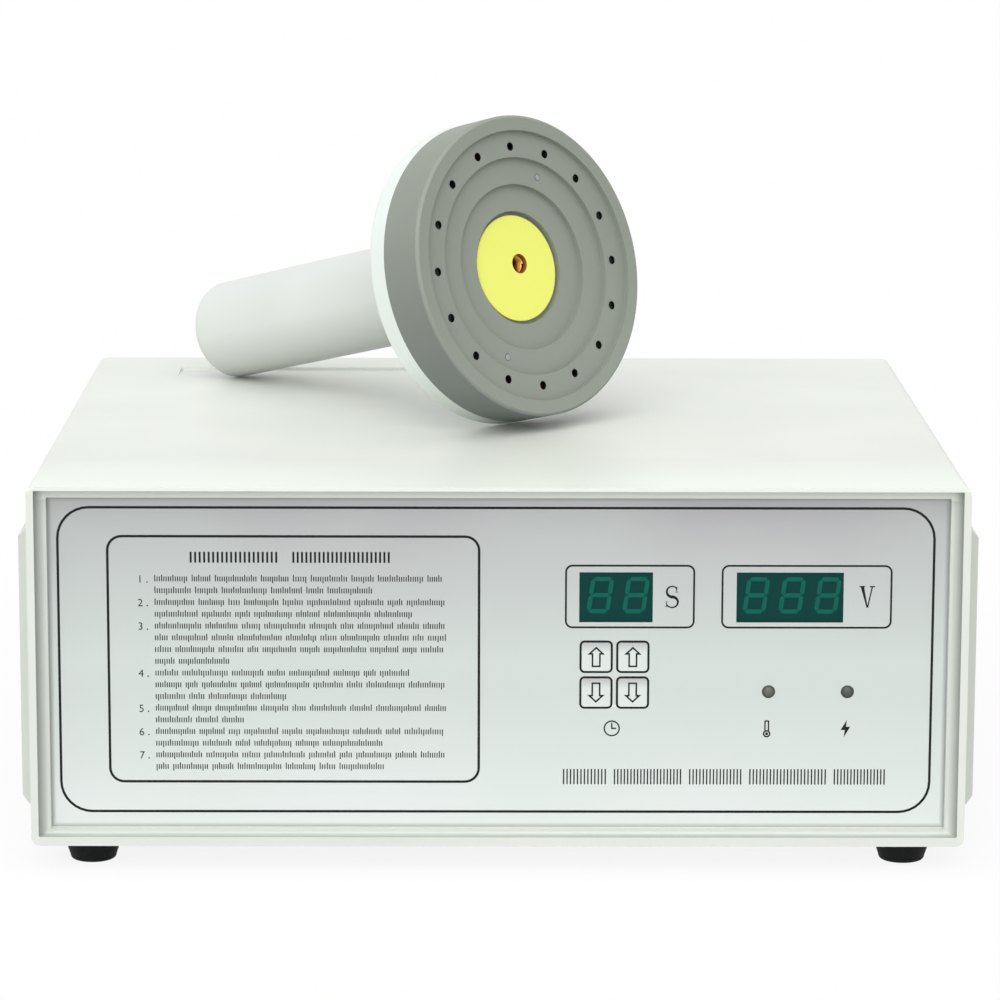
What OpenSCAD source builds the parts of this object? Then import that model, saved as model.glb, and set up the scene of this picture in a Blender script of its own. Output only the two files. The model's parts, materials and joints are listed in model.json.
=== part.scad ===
// Induction cap sealer: an instrument case with its hand-held sealing head resting on top.
// Millimetres, +Z up, front towards -Y, origin on the floor under the middle of the case.

/* [Case] */
// Width of the case, side covers apart
case_w = 330; // [300:1:360]
// Depth of the case from the front rim to the rear rim
case_d = 300; // [260:1:340]
// Height of the case, feet apart
case_h = 129; // [118:1:150]
// Wall of the two shells
wall = 2.6; // [2:0.1:3.5]
// Outside corner radius of the shells
corner_r = 3; // [2:0.5:6]
// Height of the seam between the shells, above the underside
seam_h = 21; // [17:0.5:27]

/* [Panel recess] */
// How far the panels sit behind the rims
panel_set = 8.5; // [7:0.5:12]
// Width of the lip beside a panel, from the outside of the case
lip_w = 6.5; // [5.5:0.1:8]
// Width of the lip above and below a panel, from the outside of the case
lip_h = 4.7; // [4.4:0.1:6]
// Thickness of the lip
lip_t = 3; // [2:0.1:4]
// Flat land along the lip's inner edge, where its cove ends
land_w = 0.7; // [0.4:0.1:1]
// Edge of the top over the recess
rim_top = 1.4; // [1.2:0.1:2.4]
// Edge of the floor under the recess
rim_low = 3.2; // [2.6:0.1:3.6]
// Thickness of the front and rear panels
panel_t = 2; // [1.5:0.1:3]

/* [Feet] */
// Diameter of a foot where it meets the case
foot_d = 21.5; // [18:0.5:24]
// Diameter of a foot on the floor
foot_tip_d = 16.5; // [14:0.5:18]
// Height of a foot
foot_h = 9; // [7:0.5:12]
// Middle of a foot from the side of the case
foot_inset_x = 20.3; // [17:0.1:24]
// Middle of a foot from the front or rear rim
foot_inset_y = 18; // [17:0.5:26]

/* [Side covers] */
// How far a side cover stands out
cover_t = 4.4; // [4:0.1:6]
// Bevel round a side cover
cover_bevel = 2.7; // [1:0.1:3.5]
// Side cover from the top of the case
cover_top = 17.5; // [12:0.5:22]
// Side cover from the underside of the case
cover_low = 12.3; // [10:0.1:18]
// Side cover from the front and rear rims
cover_inset_y = 12; // [8:1:20]
// Width of a vent slot
slot_w = 3; // [2:0.1:3.5]
// Height of a vent slot
slot_h = 46; // [30:1:52]
// Number of vent slots on a side
slot_count = 16; // [8:1:18]

/* [Front panel] */
// Middle of the controls from the right side of the case
controls_inset = 84; // [78:1:90]
// Width of the time window
time_w = 25.9; // [24:0.1:28]
// Width of the voltage window
volt_w = 37.7; // [34:0.1:39]
// Height of both windows
window_h = 18; // [15:0.5:20]
// Keys' outline, side to side
key_w = 10.2; // [9:0.1:11]
// Distance from key to key
key_pitch = 12.95; // [12.6:0.05:14]
// Travel of a key
key_travel = 0.6; // [0.3:0.05:0.8]
// Diameter of a lamp
lamp_d = 4.5; // [4:0.1:6]

/* [Head] */
// Diameter of the sealing face
head_d = 114; // [104:1:126]
// Radius of the outermost step in the face
step_r = 51.2; // [48:0.1:51.5]
// Width of each ring of the face
ring_w = 9.9; // [9:0.1:10.2]
// Depth of each step
step_d = 2.2; // [1.5:0.1:2.5]
// Depth of the grey face ring
face_t = 18.5; // [17:0.5:22]
// Depth of the white back shell
shell_t = 8.5; // [6:0.5:10]
// Number of air holes in the face
hole_count = 16; // [8:1:20]
// Diameter of an air hole
hole_d = 3.3; // [2:0.1:4]
// Diameter of the yellow centre disc
disc_d = 40.2; // [36:0.2:41]
// Diameter of the handle
handle_d = 39; // [36:0.5:44]
// Length of the head from its face to the end of the handle
head_len = 180; // [160:0.5:200]
// Wall of the handle
handle_wall = 4; // [3:0.1:4.5]
// Turn of the resting head about the upright
head_turn = 43.7; // [0:0.1:60]
// Middle of the face to the right of the case's middle
head_x = 12.5; // [-10:0.1:30]
// Middle of the face behind the case's middle
head_y = -22.2; // [-30:0.1:10]

/* [Rear panel] */
// Side of the square fan
fan_w = 80; // [70:1:84]
// Depth of the fan
fan_t = 25; // [20:1:30]
// Middle of the fan from the left side of the case
fan_inset = 85; // [75:1:95]
// Middle of the rear sockets from the right side of the case
sockets_inset = 92; // [86:1:96]

/* [Hidden] */
$fn = 64;

// Colours
case_white = [0.88, 0.90, 0.86];
panel_silver = [0.80, 0.81, 0.82];
window_green = [0.06, 0.30, 0.25];
key_grey = [0.86, 0.87, 0.87];
lamp_grey = [0.36, 0.39, 0.37];
rubber_black = [0.10, 0.10, 0.10];
plastic_black = [0.13, 0.13, 0.14];
head_grey = [0.55, 0.57, 0.54];
handle_white = [0.90, 0.92, 0.90];
disc_yellow = [0.92, 0.93, 0.45];
brass = [0.72, 0.55, 0.26];
steel = [0.75, 0.75, 0.76];
copper = [0.72, 0.42, 0.25];
ferrite = [0.22, 0.22, 0.24];
board_green = [0.14, 0.40, 0.22];
aluminium = [0.78, 0.79, 0.80];

// Shared small sizes: how far cuts pass through, how deep joined shapes meet, and the gaps between pieces
past = 1;
bond = 0.4;
fit = 0.2;
shaft_fit = 0.05;
least_r = 0.4;

// Levels and planes of the case
case_z = foot_h;
floor_z = case_z + wall;
seam_z = case_z + seam_h;
mid_z = case_z + case_h / 2;
top_z = case_z + case_h;
ceiling_z = top_z - wall;
side_x = case_w / 2;
rim_y = case_d / 2;
panel_y = panel_set - rim_y;
panel_back_y = panel_y + panel_t;
rear_out_y = -panel_y;
rear_in_y = -panel_back_y;

// Lip in front of a panel with its coves, and the rib behind the panel
land_y = panel_y - lip_t;
rib_t = 2;
cove_room = panel_set - lip_t - past;
cove_side = min(lip_w - land_w - wall, cove_room);
cove_top = min(lip_h - land_w - rim_top, cove_room);
cove_low = min(lip_h - land_w - rim_low, cove_room);

// Seam tongue along the sides
tongue_h = 3;
tongue_end = 10;
tongue_len = case_d - 2 * (panel_set + panel_t + rib_t + tongue_end);

// Screw posts over the feet
post_x = side_x - foot_inset_x;
post_y = rim_y - foot_inset_y;
post_r = 4.5;
foot_edge = 1.5;
foot_sink = foot_h / 2;
case_screw_r = 2;
case_head_r = 3.8;
case_head_t = 2.4;
case_screw_bite = 12;
screw_play = 0.3;

// Shallow ramp in the top that stops the handle from rolling back
ramp_left = 36;
ramp_w = 140;
ramp_rear = 26.5;
ramp_len = 25.5;
ramp_d = 1.2;

// Side cover and its screws
cover_z0 = case_z + cover_low;
cover_z1 = top_z - cover_top;
cover_y = rim_y - cover_inset_y;
cover_wall = 2.2;
cover_rim = 6;
cover_screw_low = 18;
cover_screw_high = 12;
cover_screw_in = 14;
cover_screw_r = 1.5;
cover_head_r = 2.8;
cover_head_t = 1.6;
cover_boss_r = 4;
cover_boss_len = 9;
cover_screw_bite = 7;
notch_w = 0.9;
notch_h = 2.8;
notch_lift = 3;
notch_len = 8;
slot_pitch = 8;
slot_z = mid_z + 6;

// Vents in the floor of the tray
floor_slot_len = 30;
floor_slot_count = 9;
floor_slot_in = 37;

// Places on the front panel, from the middle of the controls and the middle of the case's height
controls_x = side_x - controls_inset;
window_z = 23.8;
time_off = -39.65;
time_x = controls_x + time_off;
volt_off = 21.65;
volt_x = controls_x + volt_off;
keys_off = -40.03;
keys_x = controls_x + keys_off;
keys_z = -4.1;
lamps_z = -10.2;
lamps_gap = 27.9;
lamps_off = 28.5;
lamps_x = controls_x + lamps_off;

// Windows and displays
window_set = 0.3;
window_flange = 2;
window_flange_t = 1.2;
window_r = 0.5;
display_play = 0.3;

// Display board behind the panel
board_gap = 9.5;
board_t = 1.6;
board_y = panel_back_y + board_gap;
board_w = 118;
board_h = 66;
board_x = controls_x - 6;
board_z = 8.5;
spacer_in = 5;
spacer_r = 2.6;
spacer_screw_r = 1.5;
spacer_screw_len = 6;
small_head_r = 2.8;
small_head_t = 2;
buzzer_r = 6;
buzzer_h = 8;

// Keys
key_r = 1;
key_gap = 0.15;
key_rise = 0.2;
key_flange = 1;
key_flange_t = 1;
stem_r = 1.7;
stem_in = 1.2;
key_switch_w = 6;
key_switch_floor = 0.6;
key_switch_spare = 1.2;
key_switch_t = key_switch_floor + stem_in + key_travel + key_switch_spare;

// Lamps
lamp_rise = 0.9;
lamp_collar = 0.5;
lamp_collar_r = lamp_d / 2 + lamp_collar;
lamp_collar_t = 1;
lamp_body_len = 4;
lead_r = 0.3;
lead_gap = 1.27;

// Power board on the posts of the tray
power_w = 190;
power_d = 150;
power_y = -10;
power_lift = 10;
power_in = 8;
power_post_r = 4;
power_z = floor_z + power_lift;
power_top = power_z + board_t;

// Heat sink, with the power devices on its base
sink_x = -40;
sink_base = 6;
sink_h = 60;
sink_len = 120;
fin_len = 26;
fin_t = 2;
fin_count = 9;
device_w = 16;
device_h = 21;
device_t = 5;
device_lift = 16;
device_pitch = 24;
device_count = 4;
device_leads = 3;
device_lead_gap = 5.4;
device_lead_w = 1.2;
device_lead_t = 0.8;
bridge_w = 20;
bridge_h = 18;
bridge_t = 4;

// Transformer
core_x = 35;
core_y = 15;
core_w = 54;
core_t = 28;
core_h = 45;
core_window_w = 9;
core_yoke = 9;
winding_r = 3;

// Capacitors
film_x = 35;
film_y = -70;
film_w = 32;
film_t = 14;
film_h = 26;
film_pitch = 20;
film_count = 3;
can_x = 76;
can_y = -45;
can_r = 13;
can_h = 42;
can_groove = 1;

// Fan, drawn from its inner face towards the rear panel
fan_x = fan_inset - side_x;
duct_r = fan_w / 2 - 2;
fan_corner_r = 4;
fan_hole_in = 4.25;
fan_hole_r = 2.2;
fan_screw_r = 1.9;
fan_head_r = 3.6;
fan_head_t = 2.2;
hub_r = 17;
hub_t = 4;
strut_w = 5;
strut_count = 4;
rotor_play = 1.5;
rotor_gap = 1;
blade_count = 7;
blade_t = 1.6;
blade_pitch = 38;
fan_shaft_r = 1.5;
fan_shaft_end = 0.6;
grille_slot = 3.4;
grille_rib = 2.6;
grille_bar = 5;
grille_count = floor((duct_r - grille_rib) / (grille_slot + grille_rib));

// Rear sockets, from the middle of their group
sockets_x = side_x - sockets_inset;
inlet_off = 20;
inlet_x = sockets_x + inlet_off;
fuse_off = -11;
fuse_x = sockets_x + fuse_off;
switch_off = 55;
switch_x = sockets_x + switch_off;
socket_off = -48;
socket_x = sockets_x + socket_off;
sockets_z = -22;

// Mains inlet
inlet_flange_w = 31;
inlet_flange_h = 24;
inlet_flange_t = 2.5;
inlet_body_w = 27.4;
inlet_body_h = 20;
inlet_depth = 18;
inlet_cavity_w = 24;
inlet_cavity_h = 16.5;
inlet_cavity_d = 15;
inlet_r = 3;
pin_x = 7;
pin_z = -2;
earth_z = 3.6;
pin_w = 2;
pin_h = 4;
pin_len = 11;
tail_w = 6.3;
tail_t = 0.8;
tail_len = 8;

// Fuse holder
fuse_body_r = 6.5;
fuse_body_len = 30;
fuse_bezel_r = 8.5;
fuse_bezel_t = 2.5;
fuse_bore_r = 5.2;
fuse_bore_len = 26;
fuse_knob_r = 6.3;
fuse_knob_t = 4.2;
fuse_slot_w = 1.4;
fuse_slot_d = 1.2;
fuse_stem_len = 12;

// Rocker switch
rocker_w = 11;
rocker_l = 24;
rocker_rise = 2.3;
rocker_dip = 0.4;
rocker_deep = 5;
rocker_foot = 14;
rocker_rest = 10;
rocker_pivot = -2;
rocker_pin_r = 1.2;
rocker_pin_len = 1.2;
rocker_play = 0.4;
rocker_swing = 1.4;
switch_bezel_w = 15.5;
switch_bezel_l = 31;
switch_bezel_t = 2;
switch_body_w = 14;
switch_body_l = 28.5;
switch_depth = 17;
switch_well = 9;
switch_tabs = [-8, 0, 8];

// Socket for the head's lead
socket_barrel_r = 10;
socket_barrel_len = 6.5;
socket_ring_r = 13;
socket_ring_t = 2;
socket_bore_r = 8.2;
socket_bore_d = 5.5;
socket_depth = 16;
contact_r = 1.2;
contact_len = 4;
contact_circle = 5.3;
contact_count = 4;
contact_tail = 6;

// Head face, with depths measured back from its outer land
head_r = head_d / 2;
face_edge = 1;
face_wall = 3.5;
face_floor = 4.4;
floor_d = 3 * step_d + face_floor;
pocket_r = step_r - 3 * ring_w;
disc_t = 1.5;
disc_set = 1.3;
disc_mouth_r = 3.6;
pocket_d = 3 * step_d + disc_set + disc_t;
boss_wall = 2.5;
boss_r = pocket_r + boss_wall;
hole_in = 0.9;
hole_circle = step_r - ring_w / 2 - hole_in;
hole_start = 87.8;
channel_w = 6;
channel_wall = 1.5;
face_screw_circle = step_r - 1.5 * ring_w;
face_screw_angle = 65;
face_screw_r = 1;
face_screw_head = 1.2;
face_screw_head_t = 0.8;
face_screw_len = 4;
insert_x = 2;
insert_y = 1.5;
insert_r = 5;
insert_bore_r = 3.2;
insert_len = 6;
insert_bore_len = 5;
boss_floor = 2.6;
boss_d = pocket_d + insert_len + boss_floor;

// Back shell and handle
shell_wall = 3;
shell_lip = 2;
shell_lip_len = 3;
shell_edge = 1.5;
back_d = face_t + shell_t;
handle_r = handle_d / 2;
handle_in_r = handle_r - handle_wall;
handle_edge = 4;
spigot_r = handle_in_r - screw_play;
spigot_len = 12;
wire_way_r = 11;
end_wall = 4;

// Coil and ferrites
turn_r = 1.5;
turn_pitch = 2.7;
coil_gap = 0.1;
coil_room = 3;
coil_in_r = boss_r + coil_room;
coil_span = head_r - face_wall - shell_lip - coil_room - coil_in_r;
turn_count = floor(coil_span / turn_pitch) + 1;
coil_d = floor_d + coil_gap + turn_r;
coil_out_r = coil_in_r + (turn_count - 1) * turn_pitch;
bar_w = 9;
bar_t = 5;
bar_count = 8;
bar_d = coil_d + turn_r + coil_gap;

// Cable gland in the end of the handle
gland_hole_r = 6;
gland_body_r = 5.8;
gland_nut_r = 9;
gland_nut_t = 5;
gland_lock_r = 8.5;
gland_lock_t = 5;
gland_bore_r = 3.6;
gland_taper = 1;
gland_tail = 2;
gland_in = end_wall + gland_lock_t + gland_tail;

// Trigger in the side of the handle
trigger_d = 75;
flat_sink = 2.1;
flat_x = handle_r - flat_sink;
flat_len = 26;
button_r = 5.7;
button_play = 0.3;
button_out = 2.5;
button_travel = 2;
button_flange_r = 7;
button_flange_t = 1;
button_seat = sqrt(handle_in_r * handle_in_r - button_flange_r * button_flange_r) - button_play;
trigger_stem_r = 2;
trigger_stem_in = 3;
trigger_w = 10;
trigger_len = 18;
trigger_gap = 1;
trigger_top = button_seat - button_flange_t - button_travel - trigger_gap;
trigger_shelf = -8;
trigger_bore = 7;

// How the head lies: it touches the top with the round rear edge of its shell and the round end of its handle
rest_gap = 0.1;
rest_run = head_len - handle_edge - (back_d - shell_edge);
rest_drop = head_r - shell_edge - (handle_r - handle_edge);
rest_tilt = atan2(rest_drop, rest_run) + asin((shell_edge - handle_edge) / norm([rest_run, rest_drop]));
rest_h = (back_d - shell_edge) * sin(rest_tilt) + (head_r - shell_edge) * cos(rest_tilt) + shell_edge;
head_z = top_z + rest_gap + rest_h;

// Rectangle with round corners, about its middle
module round_rect(w, h, r) {
    square([w - 2 * r, h], center = true);
    square([w, h - 2 * r], center = true);
    for (sx = [-1, 1], sy = [-1, 1])
        translate([sx * (w / 2 - r), sy * (h / 2 - r)]) circle(r);
}

// Upright slot with round ends, about its middle
module slot_flat(w, h) {
    square([w, h - w], center = true);
    for (s = [-1, 1])
        translate([0, s * (h - w) / 2]) circle(w / 2);
}

// Stands an outline drawn in x and z upright, from y0 back to y1
module stand(y0, y1) translate([0, y1, 0]) rotate([90, 0, 0]) linear_extrude(y1 - y0) children();

// Stands an outline drawn in y and z upright, from x0 across to x1
module across(x0, x1) translate([x0, 0, 0]) rotate([90, 0, 90]) linear_extrude(x1 - x0) children();

// Moves an outline to a place on a panel
module place(x, z) translate([x, mid_z + z]) children();

// Points a piece out of the front panel, from the plane y
module facing_front(x, z, y) translate([x, y, mid_z + z]) rotate([90, 0, 0]) children();

// Points a piece out of the rear panel, from the plane y, with its own Y axis up
module facing_rear(x, z, y) translate([x, y, mid_z + z]) rotate([90, 0, 180]) children();

// Section of the case, drawn in from the outside
module case_flat(inset)
    place(0, 0) round_rect(case_w - 2 * inset, case_h - 2 * inset, max(corner_r - inset, least_r));

// Mouth of a recess, with a thin edge above and a thick one below
module mouth_flat() translate([0, (rim_low - rim_top) / 2])
    place(0, 0) round_rect(case_w - 2 * wall, case_h - rim_low - rim_top, least_r);

// Frame inside the walls round the part of a panel that stays in view
module lip_flat() difference() {
    case_flat(wall - bond);
    place(0, 0) round_rect(case_w - 2 * lip_w, case_h - 2 * lip_h, least_r);
}

// Corner between two square faces, filled to a hollow round
module cove_flat(r) difference() {
    translate([-bond, -bond]) square(r + bond);
    translate([r, r]) circle(r);
}

// Rim of the front recess, the coved lip in front of the panel, and the rib behind the panel
module panel_end() {
    stand(-rim_y, land_y + bond) difference() {
        case_flat(0);
        mouth_flat();
    }
    stand(land_y, panel_y) lip_flat();
    stand(panel_back_y + fit, panel_back_y + fit + rib_t) lip_flat();
    both_sides() translate([side_x - wall, land_y, case_z + rim_low - bond])
        linear_extrude(case_h - rim_low - rim_top + 2 * bond) rotate(180) cove_flat(cove_side);
    across(wall - bond - side_x, side_x - wall + bond) {
        translate([land_y, top_z - rim_top]) rotate(180) cove_flat(cove_top);
        translate([land_y, case_z + rim_low]) rotate(90) cove_flat(cove_low);
    }
}

// Both shells as one tube, with the panel seats at its ends
module shell() {
    stand(land_y, -land_y) difference() {
        case_flat(0);
        case_flat(wall);
    }
    panel_end();
    mirror([0, 1, 0]) panel_end();
}

// Layer of space as wide as the case
module layer(z0, z1)
    translate([-side_x - past, -rim_y - past, z0]) cube([case_w + 2 * past, case_d + 2 * past, z1 - z0]);

// Tongue along both sides of the seam, grown by the gap where it is cut out
module tongue(gap) for (s = [-1, 1])
    translate([s * (side_x - wall * 3 / 4), 0, seam_z + (tongue_h - bond) / 2])
        cube([wall / 2 + gap, tongue_len + 2 * gap, tongue_h + bond + 2 * gap], center = true);

module at_posts() for (sx = [-1, 1], sy = [-1, 1]) translate([sx * post_x, sy * post_y, 0]) children();

module at_power_posts() for (sx = [-1, 1], sy = [-1, 1])
    translate([sx * (power_w / 2 - power_in), power_y + sy * (power_d / 2 - power_in), 0]) children();

module bottom_tray() color(case_white) difference() {
    union() {
        intersection() {
            shell();
            layer(case_z, seam_z);
        }
        tongue(-fit / 2);
        at_posts() translate([0, 0, floor_z - bond]) cylinder(r = post_r, h = seam_z - floor_z + bond);
        at_power_posts() translate([0, 0, floor_z - bond]) cylinder(r = power_post_r, h = power_lift + bond);
    }
    at_posts() translate([0, 0, case_z - past])
        cylinder(r = case_screw_r + screw_play, h = seam_h + 2 * past);
    at_power_posts() translate([0, 0, floor_z])
        cylinder(r = spacer_screw_r + shaft_fit, h = power_lift + past);
    for (s = [-1, 1], i = [0 : floor_slot_count - 1])
        translate([
            s * (side_x - floor_slot_in),
            (i - (floor_slot_count - 1) / 2) * slot_pitch,
            case_z - past
        ])
            linear_extrude(wall + 2 * past) rotate(90) slot_flat(slot_w, floor_slot_len);
}

// Vent slots in one side, from x0 to x1 on the right
module side_slots(x0, x1) across(x0, x1)
    for (i = [0 : slot_count - 1])
        translate([(i - (slot_count - 1) / 2) * slot_pitch, slot_z]) slot_flat(slot_w, slot_h);

// Places of the side cover's screws, on the right
module at_cover_screws(x)
    for (sy = [-1, 1], z = [cover_z0 + cover_screw_low, cover_z1 - cover_screw_high])
        translate([x, sy * (cover_y - cover_screw_in), z]) rotate([0, 90, 0]) children();

module both_sides() {
    children();
    mirror([1, 0, 0]) children();
}

module top_cover() color(case_white) difference() {
    union() {
        intersection() {
            shell();
            layer(seam_z, top_z + past);
        }
        at_posts() translate([0, 0, seam_z]) cylinder(r = post_r, h = ceiling_z - seam_z + bond);
        both_sides() at_cover_screws(side_x - wall - cover_boss_len)
            cylinder(r = cover_boss_r, h = cover_boss_len + bond);
    }
    tongue(fit / 2);
    at_posts() translate([0, 0, seam_z - past])
        cylinder(r = case_screw_r + shaft_fit, h = case_screw_bite + 2 * past);
    both_sides() side_slots(side_x - wall - past, side_x + past);
    both_sides() at_cover_screws(side_x - wall - cover_screw_bite - past)
        cylinder(r = cover_screw_r + shaft_fit, h = wall + cover_screw_bite + 2 * past);
    across(ramp_left - side_x, ramp_left + ramp_w - side_x) polygon([
        [rim_y - ramp_rear - ramp_len, top_z],
        [rim_y - ramp_rear, top_z - ramp_d],
        [rim_y - ramp_rear, top_z + past],
        [rim_y - ramp_rear - ramp_len, top_z + past]
    ]);
}

// Bevelled bar from a0 to a1, standing out from the side of the case
module cover_outline(a0, a1) polygon([
    [side_x, a0],
    [side_x + cover_t - cover_bevel, a0],
    [side_x + cover_t, a0 + cover_bevel],
    [side_x + cover_t, a1 - cover_bevel],
    [side_x + cover_t - cover_bevel, a1],
    [side_x, a1]
]);

module side_cover() color(case_white) difference() {
    intersection() {
        stand(-cover_y, cover_y) cover_outline(cover_z0, cover_z1);
        translate([0, 0, cover_z0]) linear_extrude(cover_z1 - cover_z0) cover_outline(-cover_y, cover_y);
    }
    difference() {
        translate([side_x - past, cover_rim - cover_y, cover_z0 + cover_rim])
            cube([
                cover_t - cover_wall + past,
                2 * (cover_y - cover_rim),
                cover_z1 - cover_z0 - 2 * cover_rim
            ]);
        at_cover_screws(side_x - 2 * past) cylinder(r = cover_boss_r, h = cover_t + 2 * past);
    }
    side_slots(side_x - past, side_x + cover_t + past);
    for (y = [-cover_y, cover_y])
        translate([side_x, y, cover_z0 + notch_lift + notch_h / 2])
            cube([2 * notch_w, 2 * notch_len, notch_h], center = true);
    at_cover_screws(side_x - past) cylinder(r = cover_screw_r + screw_play, h = cover_t + 2 * past);
    at_cover_screws(side_x + cover_t - cover_head_t - fit)
        cylinder(r = cover_head_r + screw_play, h = cover_head_t + fit + past);
}

module side_cover_left() mirror([1, 0, 0]) side_cover();
module side_cover_right() side_cover();

module cover_screws() color(steel) both_sides() at_cover_screws(side_x - wall - cover_screw_bite) {
    cylinder(r = cover_screw_r, h = wall + cover_screw_bite + cover_t - cover_head_t - fit);
    translate([0, 0, wall + cover_screw_bite + cover_t - cover_head_t - fit])
        cylinder(r = cover_head_r, h = cover_head_t);
}

module foot(sx, sy) color(rubber_black) translate([sx * post_x, sy * post_y, 0]) difference() {
    rotate_extrude() {
        polygon([
            [0, 0],
            [foot_tip_d / 2 - foot_edge, 0],
            [foot_tip_d / 2, foot_edge],
            [foot_d / 2, foot_h],
            [0, foot_h]
        ]);
        translate([foot_tip_d / 2 - foot_edge, foot_edge]) intersection() {
            circle(foot_edge);
            translate([0, -foot_edge]) square(foot_edge);
        }
    }
    translate([0, 0, -past]) cylinder(r = case_screw_r + screw_play, h = foot_h + 2 * past);
    translate([0, 0, -past]) cylinder(r = case_head_r + screw_play, h = foot_sink + past);
}

module foot_front_left() foot(-1, -1);
module foot_front_right() foot(1, -1);
module foot_rear_left() foot(-1, 1);
module foot_rear_right() foot(1, 1);

module case_screws() color(steel) at_posts() {
    translate([0, 0, foot_sink - case_head_t]) cylinder(r = case_head_r, h = case_head_t);
    translate([0, 0, foot_sink]) cylinder(r = case_screw_r, h = seam_z + case_screw_bite - foot_sink);
}

module key_place(col, row)
    place(keys_x + (col - 0.5) * key_pitch, keys_z + (row - 0.5) * key_pitch) children();

module front_panel() color(panel_silver) stand(panel_y, panel_back_y) difference() {
    case_flat(wall + fit);
    place(time_x, window_z) square([time_w, window_h], center = true);
    place(volt_x, window_z) square([volt_w, window_h], center = true);
    for (col = [0, 1], row = [0, 1])
        key_place(col, row) round_rect(key_w + 2 * key_gap, key_w + 2 * key_gap, key_r + key_gap);
    for (s = [-1, 1])
        place(lamps_x + s * lamps_gap / 2, lamps_z) circle(lamp_d / 2 + fit / 2);
}

// Window set in the front panel, with a flange behind it
module window(x, w) color(window_green) {
    stand(panel_y + window_set, panel_back_y + window_flange_t) place(x, window_z)
        round_rect(w - fit, window_h - fit, window_r);
    stand(panel_back_y, panel_back_y + window_flange_t) place(x, window_z)
        round_rect(w + 2 * window_flange, window_h + 2 * window_flange, window_r);
}

module time_window() window(time_x, time_w);
module voltage_window() window(volt_x, volt_w);

module display(x, w) color(plastic_black)
    stand(panel_back_y + window_flange_t + display_play, board_y) place(x, window_z)
        round_rect(w, window_h, window_r);

module time_display() display(time_x, time_w);
module voltage_display() display(volt_x, volt_w);

// Key cap with its stop flange behind the panel and its stem in the switch
module key(col, row) color(key_grey) {
    stand(panel_y - key_rise, panel_back_y + key_flange_t) key_place(col, row)
        round_rect(key_w, key_w, key_r);
    stand(panel_back_y, panel_back_y + key_flange_t) key_place(col, row)
        round_rect(key_w + 2 * key_flange, key_w + 2 * key_flange, key_r);
    stand(panel_back_y + key_flange_t - bond, board_y - key_switch_t + stem_in) key_place(col, row)
        circle(stem_r);
}

module key_tens_up() key(0, 1);
module key_units_up() key(1, 1);
module key_tens_down() key(0, 0);
module key_units_down() key(1, 0);

module key_switches() color(plastic_black) for (col = [0, 1], row = [0, 1]) difference() {
    stand(board_y - key_switch_t, board_y) key_place(col, row) square(key_switch_w, center = true);
    stand(board_y - key_switch_t - past, board_y - key_switch_floor) key_place(col, row)
        circle(stem_r + shaft_fit);
}

// Lamp with a low dome, a collar behind the panel and two leads to the board
module lamp(s) color(lamp_grey) facing_front(lamps_x + s * lamps_gap / 2, lamps_z, panel_y) {
    dome_r = (pow(lamp_d / 2, 2) + pow(lamp_rise, 2)) / (2 * lamp_rise);
    rotate_extrude() intersection() {
        translate([0, lamp_rise - dome_r]) circle(dome_r);
        square([lamp_d / 2, lamp_rise]);
    }
    translate([0, 0, -panel_t - lamp_body_len]) cylinder(d = lamp_d, h = panel_t + lamp_body_len);
    translate([0, 0, -panel_t - lamp_collar_t]) cylinder(r = lamp_collar_r, h = lamp_collar_t);
    for (x = [-lead_gap, lead_gap])
        translate([x, 0, -panel_t - board_gap]) cylinder(r = lead_r, h = board_gap - lamp_body_len + bond);
}

module heat_lamp() lamp(-1);
module current_lamp() lamp(1);

module spacer_place() for (sx = [-1, 1], sz = [-1, 1])
    place(board_x + sx * (board_w / 2 - spacer_in), board_z + sz * (board_h / 2 - spacer_in)) children();

module display_board() color(board_green) stand(board_y, board_y + board_t) difference() {
    place(board_x, board_z) square([board_w, board_h], center = true);
    spacer_place() circle(spacer_screw_r + fit / 2);
}

module board_spacers() color(brass) difference() {
    stand(panel_back_y, board_y) spacer_place() circle(spacer_r);
    stand(board_y - spacer_screw_len - fit, board_y + past) spacer_place() circle(spacer_screw_r + shaft_fit);
}

module spacer_screws() color(steel) {
    stand(board_y - spacer_screw_len, board_y + board_t + bond) spacer_place() circle(spacer_screw_r);
    stand(board_y + board_t, board_y + board_t + small_head_t) spacer_place() circle(small_head_r);
}

module buzzer() color(plastic_black) stand(board_y + board_t, board_y + board_t + buzzer_h)
    place(board_x, board_z - board_h / 4) circle(buzzer_r);

module power_board() color(board_green) difference() {
    translate([0, power_y, power_z + board_t / 2]) cube([power_w, power_d, board_t], center = true);
    at_power_posts() translate([0, 0, power_z - past])
        cylinder(r = spacer_screw_r + fit / 2, h = board_t + 2 * past);
}

module power_board_screws() color(steel) at_power_posts() {
    translate([0, 0, power_top]) cylinder(r = small_head_r, h = small_head_t);
    translate([0, 0, power_top - board_t - spacer_screw_len])
        cylinder(r = spacer_screw_r, h = board_t + spacer_screw_len);
}

// Extruded sink: an upright base with level fins towards the left
module heat_sink() color(aluminium) translate([0, power_y, 0]) stand(-sink_len / 2, sink_len / 2) {
    translate([sink_x - sink_base, power_top]) square([sink_base, sink_h]);
    for (i = [0 : fin_count - 1])
        translate([sink_x - sink_base - fin_len, power_top + i * (sink_h - fin_t) / (fin_count - 1)])
            square([fin_len + bond, fin_t]);
}

// Power device lying against the sink's base, with its leads down to the board
module power_device(y, w, h, t) translate([sink_x, power_y + y, power_top]) {
    translate([0, -w / 2, device_lift]) cube([t, w, h]);
    for (i = [0 : device_leads - 1])
        translate([
            t / 2 - device_lead_t / 2,
            (i - (device_leads - 1) / 2) * device_lead_gap - device_lead_w / 2,
            0
        ])
            cube([device_lead_t, device_lead_w, device_lift + bond]);
}

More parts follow.
